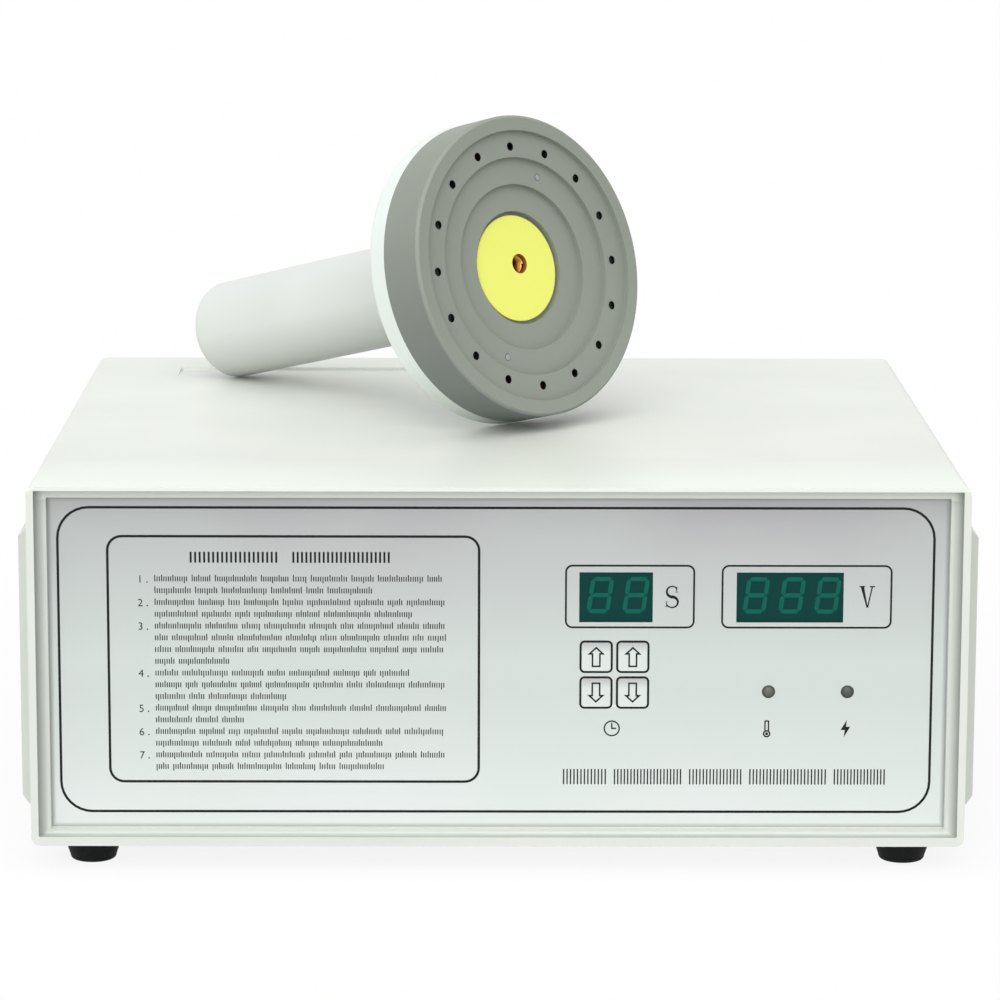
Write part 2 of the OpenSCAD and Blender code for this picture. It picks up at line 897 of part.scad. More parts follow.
function device_y(i) = (i - device_count / 2) * device_pitch;

module power_transistors() color(plastic_black)
    for (i = [0 : device_count - 1]) power_device(device_y(i), device_w, device_h, device_t);

module bridge_rectifier() color(plastic_black)
    power_device(device_y(device_count), bridge_w, bridge_h, bridge_t);

// Closed core with two windows round its middle leg
module transformer_core() color(ferrite) translate([core_x, core_y, power_top])
    stand(-core_t / 2, core_t / 2) difference() {
        translate([-core_w / 2, 0]) square([core_w, core_h]);
        for (s = [-1, 1])
            translate([s * core_w / 4, core_h / 2])
                square([core_window_w, core_h - 2 * core_yoke], center = true);
    }

core_leg_w = core_w / 2 - core_window_w;

module transformer_winding() color(copper) translate([core_x, core_y, power_top + core_yoke + fit])
    linear_extrude(core_h - 2 * core_yoke - 2 * fit) difference() {
        round_rect(
            core_leg_w + 2 * core_window_w - 2 * fit,
            core_t + 2 * core_window_w - 2 * fit,
            winding_r
        );
        square([core_leg_w + 2 * fit, core_t + 2 * fit], center = true);
    }

module resonant_capacitors() color(window_green) for (i = [0 : film_count - 1])
    translate([film_x, film_y + i * film_pitch, power_top])
        linear_extrude(film_h) round_rect(film_w, film_t, least_r);

module smoothing_capacitor() color(plastic_black) translate([can_x, can_y, power_top]) difference() {
    cylinder(r = can_r, h = can_h);
    translate([0, 0, can_h / 8]) rotate_extrude() translate([can_r + can_groove / 2, 0]) circle(can_groove);
    for (a = [0, 90])
        translate([0, 0, can_h]) rotate(a) cube([can_r, can_groove, can_groove], center = true);
}

module at_fan() facing_rear(fan_x, 0, rear_in_y - fan_t) children();

module at_fan_holes() for (sx = [-1, 1], sy = [-1, 1])
    translate([sx * (fan_w / 2 - fan_hole_in), sy * (fan_w / 2 - fan_hole_in)]) children();

module fan_frame() color(plastic_black) at_fan() {
    linear_extrude(fan_t) difference() {
        round_rect(fan_w, fan_w, fan_corner_r);
        circle(duct_r);
        at_fan_holes() circle(fan_hole_r);
    }
    linear_extrude(hub_t) difference() {
        union() {
            circle(hub_r);
            for (i = [0 : strut_count - 1])
                rotate(45 + i * 360 / strut_count) translate([hub_r - bond, -strut_w / 2])
                    square([duct_r - hub_r + 2 * bond, strut_w]);
        }
        circle(fan_shaft_r + shaft_fit);
    }
}

// Rotor: a hub on its shaft, and pitched blades trimmed to the duct
module fan_rotor() color(plastic_black) at_fan() {
    rotor_z = hub_t + rotor_gap;
    rotor_t = fan_t - rotor_z - rotor_play;
    translate([0, 0, fan_shaft_end]) cylinder(r = fan_shaft_r, h = rotor_z - fan_shaft_end + bond);
    translate([0, 0, rotor_z]) cylinder(r = hub_r, h = rotor_t);
    intersection() {
        translate([0, 0, rotor_z]) cylinder(r = duct_r - rotor_play, h = rotor_t);
        for (i = [0 : blade_count - 1])
            rotate(i * 360 / blade_count) translate([duct_r / 2 + hub_r / 4, 0, rotor_z + rotor_t / 2])
                rotate([90 - blade_pitch, 0, 0])
                    cube([duct_r - hub_r / 2, blade_t, 2 * rotor_t], center = true);
    }
}

module fan_screws() color(steel) facing_rear(fan_x, 0, rear_in_y) at_fan_holes() {
    translate([0, 0, -fan_t / 2]) cylinder(r = fan_screw_r, h = panel_t + fan_t / 2);
    translate([0, 0, panel_t]) cylinder(r = fan_head_r, h = fan_head_t);
}

// Rings of slots in front of the fan, with four bars left across them
module fan_grille() difference() {
    for (i = [1 : grille_count]) {
        slot_in = i * (grille_slot + grille_rib) - grille_slot;
        difference() {
            circle(slot_in + grille_slot);
            circle(slot_in);
        }
    }
    for (a = [45, 135])
        rotate(a) square([2 * fan_w, grille_bar], center = true);
}

module rear_panel() color(case_white) stand(rear_in_y, rear_out_y) difference() {
    case_flat(wall + fit);
    place(fan_x, 0) {
        fan_grille();
        at_fan_holes() circle(fan_screw_r + fit);
    }
    place(inlet_x, sockets_z) square([inlet_body_w + 2 * fit, inlet_body_h + 2 * fit], center = true);
    place(fuse_x, sockets_z) circle(fuse_body_r + fit);
    place(switch_x, sockets_z) square([switch_body_w + 2 * fit, switch_body_l + 2 * fit], center = true);
    place(socket_x, sockets_z) circle(socket_barrel_r + fit);
}

module at_inlet() facing_rear(inlet_x, sockets_z, rear_out_y) children();

module mains_inlet() color(plastic_black) at_inlet() difference() {
    union() {
        linear_extrude(inlet_flange_t) round_rect(inlet_flange_w, inlet_flange_h, inlet_r);
        translate([0, 0, -inlet_depth]) linear_extrude(inlet_depth + bond)
            round_rect(inlet_body_w, inlet_body_h, inlet_r);
    }
    translate([0, 0, inlet_flange_t - inlet_cavity_d]) linear_extrude(inlet_cavity_d + past)
        round_rect(inlet_cavity_w, inlet_cavity_h, inlet_r);
}

module inlet_pins() color(steel) at_inlet() for (p = [[-pin_x, pin_z], [0, earth_z], [pin_x, pin_z]]) {
    translate([p.x, p.y, inlet_flange_t - inlet_cavity_d]) linear_extrude(pin_len)
        square([pin_w, pin_h], center = true);
    translate([p.x, p.y, -inlet_depth - tail_len]) linear_extrude(tail_len)
        square([tail_t, tail_w], center = true);
}

module at_fuse() facing_rear(fuse_x, sockets_z, rear_out_y) children();

module fuse_holder() color(plastic_black) at_fuse() difference() {
    union() {
        cylinder(r = fuse_bezel_r, h = fuse_bezel_t);
        translate([0, 0, -fuse_body_len]) cylinder(r = fuse_body_r, h = fuse_body_len + bond);
    }
    translate([0, 0, fuse_bezel_t - fuse_bore_len]) cylinder(r = fuse_bore_r, h = fuse_bore_len + past);
}

module fuse_cap() color(plastic_black) at_fuse() difference() {
    union() {
        translate([0, 0, fuse_bezel_t + fit]) cylinder(r = fuse_knob_r, h = fuse_knob_t);
        translate([0, 0, fuse_bezel_t - fuse_stem_len])
            cylinder(r = fuse_bore_r - shaft_fit, h = fuse_stem_len + fit + bond);
    }
    translate([0, 0, fuse_bezel_t + fit + fuse_knob_t])
        cube([2 * fuse_knob_r, fuse_slot_w, 2 * fuse_slot_d], center = true);
}

module at_switch() facing_rear(switch_x, sockets_z, rear_out_y + switch_bezel_t) children();

module switch_body() color(plastic_black) at_switch() difference() {
    union() {
        translate([0, 0, -switch_bezel_t]) linear_extrude(switch_bezel_t)
            round_rect(switch_bezel_w, switch_bezel_l, 1);
        translate([0, 0, -switch_depth]) linear_extrude(switch_depth - switch_bezel_t + bond)
            square([switch_body_w, switch_body_l], center = true);
        for (y = switch_tabs)
            translate([0, y, -switch_depth - tail_len]) linear_extrude(tail_len + bond)
                square([tail_w, tail_t], center = true);
    }
    translate([0, 0, -switch_well]) linear_extrude(switch_well + past)
        square([rocker_w + 2 * rocker_play, rocker_l + 2 * rocker_swing], center = true);
    translate([0, 0, rocker_pivot]) rotate([0, 90, 0])
        cylinder(r = rocker_pin_r + shaft_fit, h = rocker_w + 2 * (rocker_pin_len + fit), center = true);
}

// Rocker with two pressing faces that meet in a shallow dip, at rest with its upper end out
module switch_rocker() color(plastic_black) at_switch()
    translate([0, 0, rocker_pivot]) rotate([rocker_rest, 0, 0]) {
        rotate([90, 0, 90]) linear_extrude(rocker_w, center = true) polygon([
            [-rocker_l / 2, rocker_rise - rocker_pivot],
            [0, rocker_dip - rocker_pivot],
            [rocker_l / 2, rocker_rise - rocker_pivot],
            [rocker_l / 2, 0],
            [rocker_foot / 2, -rocker_deep],
            [-rocker_foot / 2, -rocker_deep],
            [-rocker_l / 2, 0]
        ]);
        rotate([0, 90, 0]) cylinder(r = rocker_pin_r, h = rocker_w + 2 * rocker_pin_len, center = true);
    }

module at_socket() facing_rear(socket_x, sockets_z, rear_out_y) children();

module head_socket() color(steel) at_socket() difference() {
    union() {
        cylinder(r = socket_barrel_r, h = socket_barrel_len);
        cylinder(r = socket_ring_r, h = socket_ring_t);
        translate([0, 0, -socket_depth]) cylinder(r = socket_barrel_r, h = socket_depth + bond);
        translate([0, 0, -panel_t - socket_ring_t]) cylinder(r = socket_ring_r, h = socket_ring_t);
    }
    translate([0, 0, socket_barrel_len - socket_bore_d])
        cylinder(r = socket_bore_r, h = socket_bore_d + past);
}

module socket_contacts() color(brass) at_socket() for (i = [0 : contact_count - 1])
    rotate(45 + i * 360 / contact_count) translate([contact_circle, 0, 0]) {
        translate([0, 0, socket_barrel_len - socket_bore_d]) cylinder(r = contact_r, h = contact_len);
        translate([0, 0, -socket_depth - contact_tail]) cylinder(r = contact_r, h = contact_tail);
    }

// Frame of the resting head: its axis is Z, with the face at z = 0 and the handle towards -Z
module at_head() translate([head_x, head_y, head_z]) rotate([90 - rest_tilt, 0, head_turn]) children();

function ring_r(i) = step_r - i * ring_w;

// Radius and level of the face's steps, from the outer land down to the pocket
face_steps = [for (i = [2 : -1 : 0]) each [[ring_r(i), -(i + 1) * step_d], [ring_r(i), -i * step_d]]];

module at_face_screws() for (a = [face_screw_angle, face_screw_angle + 180])
    rotate(a) translate([face_screw_circle, 0, -2 * step_d]) children();

module head_face() color(head_grey) at_head() difference() {
    rotate_extrude() polygon(concat(
        [[0, -pocket_d], [pocket_r, -pocket_d], [pocket_r, -3 * step_d]],
        face_steps,
        [
            [head_r - face_edge, 0],
            [head_r, -face_edge],
            [head_r, -face_t],
            [head_r - face_wall, -face_t],
            [head_r - face_wall, -floor_d],
            [boss_r, -floor_d],
            [boss_r, -boss_d],
            [0, -boss_d]
        ]
    ));
    for (i = [0 : hole_count - 1])
        rotate(hole_start + i * 360 / hole_count) translate([hole_circle, 0, -floor_d - past])
            cylinder(d = hole_d, h = floor_d);
    rotate_extrude() translate([hole_circle - channel_w / 2, -floor_d - past])
        square([channel_w, floor_d + past - step_d - channel_wall]);
    at_face_screws() {
        translate([0, 0, -face_screw_len - fit])
            cylinder(r = face_screw_r + shaft_fit, h = face_screw_len + past);
        translate([0, 0, -face_screw_head_t])
            cylinder(r = face_screw_head + fit, h = face_screw_head_t + past);
    }
    translate([insert_x, insert_y, -pocket_d - insert_len])
        cylinder(r = insert_r + shaft_fit, h = insert_len + past);
}

module face_screws() color(steel) at_head() at_face_screws() {
    translate([0, 0, -face_screw_len]) cylinder(r = face_screw_r, h = face_screw_len);
    translate([0, 0, -face_screw_head_t]) cylinder(r = face_screw_head, h = face_screw_head_t);
}

module centre_disc() color(disc_yellow) at_head()
    translate([0, 0, -pocket_d]) linear_extrude(disc_t) difference() {
        circle(d = disc_d);
        translate([insert_x, insert_y]) circle(disc_mouth_r);
    }

module centre_insert() color(brass) at_head()
    translate([insert_x, insert_y, -pocket_d - insert_len]) difference() {
        cylinder(r = insert_r, h = insert_len);
        translate([0, 0, insert_len - insert_bore_len])
            cylinder(r = insert_bore_r, h = insert_bore_len + past);
    }

// Litz winding as one ridged ring, glued to the back of the face
module induction_coil() color(copper) at_head() rotate_extrude()
    for (i = [0 : turn_count - 1])
        translate([coil_in_r + i * turn_pitch, -coil_d]) circle(turn_r);

module ferrite_bars() color(ferrite) at_head() for (i = [0 : bar_count - 1])
    rotate(i * 360 / bar_count) translate([coil_in_r, -bar_w / 2, -bar_d - bar_t])
        cube([coil_out_r - coil_in_r, bar_w, bar_t]);

// Back shell: a rim behind the face with a locating lip, a back plate and a spigot for the handle
module head_shell() color(handle_white) at_head() rotate_extrude() {
    lip_out = head_r - face_wall - fit;
    polygon([
        [wire_way_r, shell_wall - back_d],
        [wire_way_r, -back_d - spigot_len],
        [spigot_r, -back_d - spigot_len],
        [spigot_r, -back_d],
        [head_r - shell_edge, -back_d],
        [head_r, shell_edge - back_d],
        [head_r, -face_t],
        [lip_out, -face_t],
        [lip_out, shell_lip_len - face_t],
        [lip_out - shell_lip, shell_lip_len - face_t],
        [lip_out - shell_lip, shell_wall - back_d]
    ]);
    translate([head_r - shell_edge, shell_edge - back_d]) intersection() {
        circle(shell_edge);
        translate([0, -shell_edge]) square(shell_edge);
    }
}

// Sets a piece across the handle at the trigger, pointing out of its side
module at_trigger() at_head() translate([0, 0, -trigger_d]) rotate([0, 90, 0]) children();

module handle_tube() color(handle_white) difference() {
    union() {
        at_head() rotate_extrude() {
            polygon([
                [gland_hole_r, end_wall - head_len],
                [handle_in_r, end_wall - head_len],
                [handle_in_r, -back_d],
                [handle_r, -back_d],
                [handle_r, handle_edge - head_len],
                [handle_r - handle_edge, -head_len],
                [gland_hole_r, -head_len]
            ]);
            translate([handle_r - handle_edge, handle_edge - head_len]) intersection() {
                circle(handle_edge);
                translate([0, -handle_edge]) square(handle_edge);
            }
        }
        at_head() intersection() {
            translate([0, 0, -trigger_d]) cylinder(r = handle_in_r + bond, h = trigger_len, center = true);
            translate([trigger_shelf - handle_r, -handle_r, -trigger_d - trigger_len])
                cube([handle_r, handle_d, 2 * trigger_len]);
        }
    }
    at_trigger() translate([0, 0, flat_x + handle_r / 2])
        cube([flat_len, handle_d, handle_r], center = true);
    at_trigger() cylinder(r = button_r + button_play, h = handle_d);
}

module trigger_button() color(plastic_black) at_trigger() {
    translate([0, 0, button_seat]) cylinder(r = button_r, h = flat_x + button_out - button_seat);
    translate([0, 0, button_seat - button_flange_t]) cylinder(r = button_flange_r, h = button_flange_t);
    translate([0, 0, trigger_top - trigger_stem_in])
        cylinder(r = trigger_stem_r, h = button_seat - trigger_top + trigger_stem_in);
}

module trigger_switch() color(plastic_black) at_trigger() difference() {
    translate([0, 0, trigger_shelf]) linear_extrude(trigger_top - trigger_shelf)
        square([trigger_len, trigger_w], center = true);
    translate([0, 0, trigger_top - trigger_bore])
        cylinder(r = trigger_stem_r + shaft_fit, h = trigger_bore + past);
}

// Gland clamped through the end wall, with its lock nut inside the handle
module cable_gland() color(plastic_black) at_head() translate([0, 0, -head_len]) difference() {
    union() {
        translate([0, 0, -gland_nut_t])
            cylinder(r1 = gland_nut_r - gland_taper, r2 = gland_nut_r, h = gland_nut_t);
        cylinder(r = gland_body_r, h = gland_in);
        translate([0, 0, end_wall]) cylinder(r = gland_lock_r, h = gland_lock_t);
    }
    translate([0, 0, -gland_nut_t - past])
        cylinder(r = gland_bore_r, h = gland_nut_t + gland_in + 2 * past);
}

bottom_tray();
top_cover();
side_cover_left();
side_cover_right();
front_panel();
rear_panel();
foot_front_left();
foot_front_right();
foot_rear_left();
foot_rear_right();
case_screws();
cover_screws();
time_window();
voltage_window();
time_display();
voltage_display();
key_tens_up();
key_units_up();
key_tens_down();
key_units_down();
key_switches();
heat_lamp();
current_lamp();
display_board();
board_spacers();
spacer_screws();
buzzer();
power_board();
power_board_screws();
heat_sink();
power_transistors();
bridge_rectifier();
transformer_core();
transformer_winding();
resonant_capacitors();
smoothing_capacitor();
fan_frame();
fan_rotor();
fan_screws();
mains_inlet();
inlet_pins();
fuse_holder();
fuse_cap();
switch_body();
switch_rocker();
head_socket();
socket_contacts();
head_face();
head_shell();
induction_coil();
ferrite_bars();
centre_disc();
centre_insert();
face_screws();
handle_tube();
cable_gland();
trigger_switch();
trigger_button();
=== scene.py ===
import json
import math

import bmesh
import bpy
from mathutils import Matrix, Vector


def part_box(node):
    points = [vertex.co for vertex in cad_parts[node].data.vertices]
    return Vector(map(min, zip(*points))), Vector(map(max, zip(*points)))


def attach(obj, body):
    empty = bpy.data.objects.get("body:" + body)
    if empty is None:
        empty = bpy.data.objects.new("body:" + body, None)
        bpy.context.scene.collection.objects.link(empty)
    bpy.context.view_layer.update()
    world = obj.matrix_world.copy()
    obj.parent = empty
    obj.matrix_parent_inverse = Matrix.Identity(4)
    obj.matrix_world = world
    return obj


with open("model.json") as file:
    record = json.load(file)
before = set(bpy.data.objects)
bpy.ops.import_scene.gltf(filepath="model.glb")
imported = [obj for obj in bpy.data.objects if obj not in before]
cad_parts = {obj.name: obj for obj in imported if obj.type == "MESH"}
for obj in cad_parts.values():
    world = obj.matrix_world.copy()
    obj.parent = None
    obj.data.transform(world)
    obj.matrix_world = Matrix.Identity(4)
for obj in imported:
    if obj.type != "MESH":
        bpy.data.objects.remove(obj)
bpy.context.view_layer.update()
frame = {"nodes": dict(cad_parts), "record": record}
nodes = frame["nodes"]
MM = 0.001

# Camera.
# A long lens from a little above, almost square to the front panel, as a catalogue picture is taken.
# Its pitch, yaw and roll, in radians, line up the case's edges.
lens_from = Vector((-10.1, -1595.9, 404.0)) * MM
lens_length, sensor_width, near_clip = 151.95, 36, 0.01
pitch_down, yaw_right, roll_over = 0.1848, 0.0072, 0.0030

ahead = Vector((
    math.sin(yaw_right) * math.cos(pitch_down),
    math.cos(yaw_right) * math.cos(pitch_down),
    -math.sin(pitch_down),
))
level = Vector((math.cos(yaw_right), -math.sin(yaw_right), 0))
upright = level.cross(ahead)
across_view = level * math.cos(roll_over) + upright * math.sin(roll_over)
up_view = upright * math.cos(roll_over) - level * math.sin(roll_over)
camera = bpy.data.objects.new("camera", bpy.data.cameras.new("camera"))
camera.data.lens = lens_length
camera.data.sensor_width = sensor_width
camera.data.clip_start = near_clip
camera_turn = Matrix((across_view, up_view, -ahead)).transposed().to_4x4()
camera.matrix_world = Matrix.Translation(lens_from) @ camera_turn
bpy.context.scene.collection.objects.link(camera)
bpy.context.scene.camera = camera
bpy.context.scene.view_settings.view_transform = "Standard"

# Studio.
# A seamless pale sweep lit from all round, with one very soft lamp overhead and another in front.
# The sweep looks white to the lens and in reflections, and still takes the object's shadow.
floor_span = 12.0
sky_level = 0.42
overhead_level, overhead_spread = 1.25, math.radians(90)
front_level, front_spread = 1.68, math.radians(64)
overhead_aim, front_aim = (0.12, 0.25, -1), (0.1, 1, -0.5)
shadow_share = 0.12
paper_lit, paper_shown = (0.42, 0.43, 0.42, 1), (0.93, 0.93, 0.93, 1)


class Wire:
    """One output of a node. Arithmetic on wires adds the Math nodes that it needs."""

    def __init__(self, work, socket):
        self.work = work
        self.socket = socket

    def _math(self, operation, *values):
        return self.work.node("Math", {"operation": operation}, dict(enumerate(values)))

    def __add__(self, other):
        return self._math("ADD", self, other)

    def __radd__(self, other):
        return self._math("ADD", other, self)

    def __sub__(self, other):
        return self._math("SUBTRACT", self, other)

    def __rsub__(self, other):
        return self._math("SUBTRACT", other, self)

    def __mul__(self, other):
        return self._math("MULTIPLY", self, other)

    def __rmul__(self, other):
        return self._math("MULTIPLY", other, self)

    def __abs__(self):
        return self._math("ABSOLUTE", self)

    def __gt__(self, other):
        return self._math("GREATER_THAN", self, other)

    def __lt__(self, other):
        return self._math("LESS_THAN", self, other)

    def least(self, other):
        return self._math("MINIMUM", self, other)

    def most(self, other):
        return self._math("MAXIMUM", self, other)

    def fraction(self):
        return self._math("FRACT", self)

    def root(self):
        return self._math("SQRT", self)


class Work:
    """The node tree of a material or of the world, while it is being written."""

    def __init__(self, owner):
        owner.use_nodes = True
        self.tree = owner.node_tree
        self.tree.nodes.clear()

    def put(self, socket, value):
        if isinstance(value, Wire):
            self.tree.links.new(value.socket, socket)
        else:
            socket.default_value = value

    def node(self, kind, settings=None, inputs=None, output=0):
        """Adds a node: its type, then its settings, then the values or wires of its sockets."""
        made = self.tree.nodes.new("ShaderNode" + kind)
        for name, value in (settings or {}).items():
            setattr(made, name, value)
        for name, value in (inputs or {}).items():
            self.put(made.inputs[name], value)
        return Wire(self, made.outputs[output]) if made.outputs else made

    def blend(self, share, first, second):
        """Mixes two colours."""
        return self.node("Mix", {"data_type": "RGBA"}, {0: share, 6: first, 7: second}, 2)

    def seen_direct(self):
        """1 for rays from the lens, from mirrors and through glass, and 0 for all other light."""
        names = ("Is Camera Ray", "Is Glossy Ray", "Is Transmission Ray")
        lens, mirror, glass = [self.node("LightPath", output=name) for name in names]
        return (lens + mirror + glass).least(1.0)


white = (1, 1, 1, 1)
sky = bpy.data.worlds.new("studio")
bpy.context.scene.world = sky
sky_work = Work(sky)
sky_glow = sky_work.node("Background", None, {"Color": white, "Strength": sky_level})
sky_white = sky_work.node("Background", None, {"Color": white, "Strength": 1.0})
sky_mix = sky_work.node("MixShader", None, {0: sky_work.seen_direct(), 1: sky_glow, 2: sky_white})
sky_work.node("OutputWorld", None, {"Surface": sky_mix})

sweep_mesh = bpy.data.meshes.new("sweep")
half_span = floor_span / 2
sweep_corners = [(x * half_span, y * half_span, 0) for x, y in ((-1, -1), (1, -1), (1, 1), (-1, 1))]
sweep_mesh.from_pydata(sweep_corners, [], [(0, 1, 2, 3)])
sweep = bpy.data.objects.new("sweep", sweep_mesh)
bpy.context.scene.collection.objects.link(sweep)
sweep_paint = bpy.data.materials.new("sweep_white")
sweep_work = Work(sweep_paint)
paper_seen = sweep_work.seen_direct()
paper_tone = sweep_work.blend(paper_seen, paper_lit, paper_shown)
paper = sweep_work.node("BsdfDiffuse", None, {"Color": paper_tone})
paper_white = sweep_work.node("Emission", None, {"Color": white, "Strength": 1.0})
paper_mix = sweep_work.node("MixShader", None, {0: paper_seen * (1 - shadow_share), 1: paper, 2: paper_white})
sweep_work.node("OutputMaterial", None, {"Surface": paper_mix})
sweep_mesh.materials.append(sweep_paint)


def soft_lamp(name, strength, spread, aim):
    """A distant lamp of wide spread, which lights everything alike from one side."""
    lamp = bpy.data.objects.new(name, bpy.data.lights.new(name, "SUN"))
    lamp.data.energy = strength
    lamp.data.angle = spread
    lamp.rotation_mode = "QUATERNION"
    lamp.rotation_quaternion = Vector(aim).to_track_quat("-Z", "Y")
    bpy.context.scene.collection.objects.link(lamp)


soft_lamp("overhead_lamp", overhead_level, overhead_spread, overhead_aim)
soft_lamp("front_lamp", front_level, front_spread, front_aim)

# Case shells and side covers.
# Two shells of off-white moulded plastic meet along a seam low on the sides, and a vented cover is
# screwed to each side. The moulds leave a fine spark-eroded grain and softly broken edges.
shell_white = (230, 234, 227)
cover_white = (226, 231, 221)
shell_gloss = 0.42
shell_edge = 0.45 * MM
cloud_size, gloss_size, gloss_spread = 70, 9, 0.12
sharp_angle = math.radians(34)
weld_gap = 0.001 * MM


def paint(red, green, blue):
    """A colour given as it shows on a screen, in the linear values of the shader."""
    linear = [
        c / 12.92 if c <= 0.04045 else ((c + 0.055) / 1.055) ** 2.4
        for c in (red / 255, green / 255, blue / 255)
    ]
    return (*linear, 1)


class Finish(Work):
    """A surface finish: a Principled shader, with what varies over the surface wired to it."""

    def __init__(self, name, **constants):
        self.material = bpy.data.materials.new(name)
        super().__init__(self.material)
        self.surface = self.tree.nodes.new("ShaderNodeBsdfPrincipled")
        self.set(constants)
        self.node("OutputMaterial", None, {"Surface": Wire(self, self.surface.outputs[0])})
        self.place = self.node("TexCoord", output="Object")

    def set(self, values):
        for name, value in values.items():
            self.put(self.surface.inputs[name.replace("_", " ")], value)

    def stretched(self, along):
        """The place on the part, stretched along each axis."""
        return self.node("VectorMath", {"operation": "MULTIPLY"}, {0: self.place, 1: along})

    def noise(self, size, detail=2.0, place=None):
        """Cloudy noise from 0 to 1, with features of about this size in millimetres."""
        inputs = {"Vector": place or self.place, "Scale": 1 / (size * MM), "Detail": detail}
        return self.node("TexNoise", None, inputs)

    def axis(self, name):
        """One coordinate of the place, in millimetres."""
        parts = self.node("SeparateXYZ", None, {0: self.place}, name)
        return parts * (1 / MM)

    def along(self, direction, origin):
        """How far the place lies from origin along a direction, in millimetres."""
        offset = self.node("VectorMath", {"operation": "SUBTRACT"}, {0: self.place, 1: origin})
        inputs = {0: offset, 1: direction}
        return self.node("VectorMath", {"operation": "DOT_PRODUCT"}, inputs, "Value") * (1 / MM)

    def ramp(self, value, low, high):
        """0 below low, 1 above high and straight between."""
        return self.node("MapRange", None, {"Value": value, "From Min": low, "From Max": high})

    def relief(self, height, depth):
        """Raises the surface by height times depth, in millimetres."""
        self.set({"Normal": self.node("Bump", None, {"Height": height, "Distance": depth * MM})})

    def on(self, *pieces):
        for piece in pieces:
            piece.data.materials.clear()
            piece.data.materials.append(self.material)


def moulded(name, colour, gloss, grain=0.7, depth=0.02, drift=0.02):
    """Moulded plastic: a faint drift of tone, uneven gloss and a fine grain."""
    finish = Finish(name)
    red, green, blue = colour
    deep = paint(red * (1 - drift), green * (1 - drift), blue * (1 - drift))
    cloud = finish.ramp(finish.noise(cloud_size), 0.3, 0.7)
    fine = finish.noise(grain, 3.0)
    finish.tone = finish.blend(cloud, deep, paint(*colour))
    finish.set({"Base_Color": finish.tone})
    finish.set({"Roughness": gloss - gloss_spread / 2 + gloss_spread * finish.noise(gloss_size)})
    finish.relief(fine, depth)
    return finish


def soften(piece, width):
    """Breaks a piece's edges with a small round."""
    weld = piece.modifiers.new("weld", "WELD")
    weld.merge_threshold = weld_gap
    edge = piece.modifiers.new("edge", "BEVEL")
    edge.width = width
    edge.segments = 2
    edge.limit_method = "ANGLE"
    edge.angle_limit = sharp_angle
    shade = piece.modifiers.new("shade", "WEIGHTED_NORMAL")
    shade.keep_sharp = True
    for face in piece.data.polygons:
        face.use_smooth = True


case_finish = moulded("case_plastic", shell_white, shell_gloss)
case_shells = [nodes["top_cover"], nodes["bottom_tray"]]

# Seats of the panels: painted shade darkens the mouths of the two recesses towards their rims,
# painted light brightens the upper strip of the top mouth, and a painted highlight pales the front of the
# top.
cover_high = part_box("top_cover")[1]
tray_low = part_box("bottom_tray")[0]
mouth_painted_shade, mouth_pale_shade = (170, 174, 168), (219, 223, 216)
upper_painted_light, top_front_highlight = (244, 248, 241), (238, 244, 236)
rim_side, rim_top, rim_foot, mouth_depth, margin = 2.6, 1.4, 3.2, 9, 0.1
pale_from, pale_to = -95, -142
mouth_x = cover_high.x / MM - rim_side
mouth_top, mouth_foot = cover_high.z / MM - rim_top, tray_low.z / MM + rim_foot
from_middle, height = abs(case_finish.axis("X")), case_finish.axis("Z")
from_rim = cover_high.y / MM - abs(case_finish.axis("Y"))
in_mouth = case_finish.ramp(from_rim, 0.1, 0.4) * (from_middle < mouth_x + margin) * (from_rim < mouth_depth)
in_mouth = in_mouth * (height > mouth_foot - margin) * (height < mouth_top + margin)
# Painted shade: darkest at the rims of each mouth, paler further in.
lit_side = case_finish.ramp(mouth_x - from_middle, 0, 3)
lit_top = case_finish.ramp(mouth_top - height, 0.1, 0.6)
lit_foot = case_finish.ramp(from_rim, 0.3, 6.5).most(height > mouth_foot + 2)
light_tone = case_finish.blend(height > mouth_top - 4, paint(*mouth_pale_shade), paint(*upper_painted_light))
mouth_shade_tone = case_finish.blend(lit_side.least(lit_top).least(lit_foot), paint(*mouth_painted_shade), light_tone)
# Painted highlight along the front of the top.
on_top = case_finish.ramp(case_finish.axis("Y"), pale_from, pale_to) * (height > mouth_top + 0.2)
top_highlight_tone = case_finish.blend(on_top, case_finish.tone, paint(*top_front_highlight))
case_finish.set({"Base_Color": case_finish.blend(in_mouth, top_highlight_tone, mouth_shade_tone)})
side_covers = [nodes["side_cover_left"], nodes["side_cover_right"]]
case_finish.on(*case_shells)
moulded("cover_plastic", cover_white, shell_gloss).on(*side_covers)
for shell in case_shells:
    soften(shell, shell_edge)
for cover in side_covers:
    for face in cover.data.polygons:
        face.use_smooth = False

# Feet.
# Four turned rubber feet, each held up against the tray by a case screw through its middle.
# The rubber is dull black, a little dusty where it was handled.
foot_black = (10, 12, 12)
foot_dust = (30, 32, 31)

foot_finish = Finish("rubber", Specular_IOR_Level=0.2)
foot_cloud = foot_finish.ramp(foot_finish.noise(4, 4.0), 0.52, 0.75)
foot_finish.set({"Base_Color": foot_finish.blend(foot_cloud * 0.35, paint(*foot_black), paint(*foot_dust))})
foot_finish.set({"Roughness": 0.55 + 0.25 * foot_finish.noise(1.5)})
foot_finish.relief(foot_finish.noise(0.5), 0.03)
feet = [nodes[f"foot_{end}_{side}"] for end in ("front", "rear") for side in ("left", "right")]
foot_finish.on(*feet)
for foot in feet:
    soften(foot, 0.3 * MM)

# Screws.
# Zinc-plated steel screws and spacers hold the case, the covers, the boards, the fan and the head's face.
screw_zinc = (178, 180, 182)


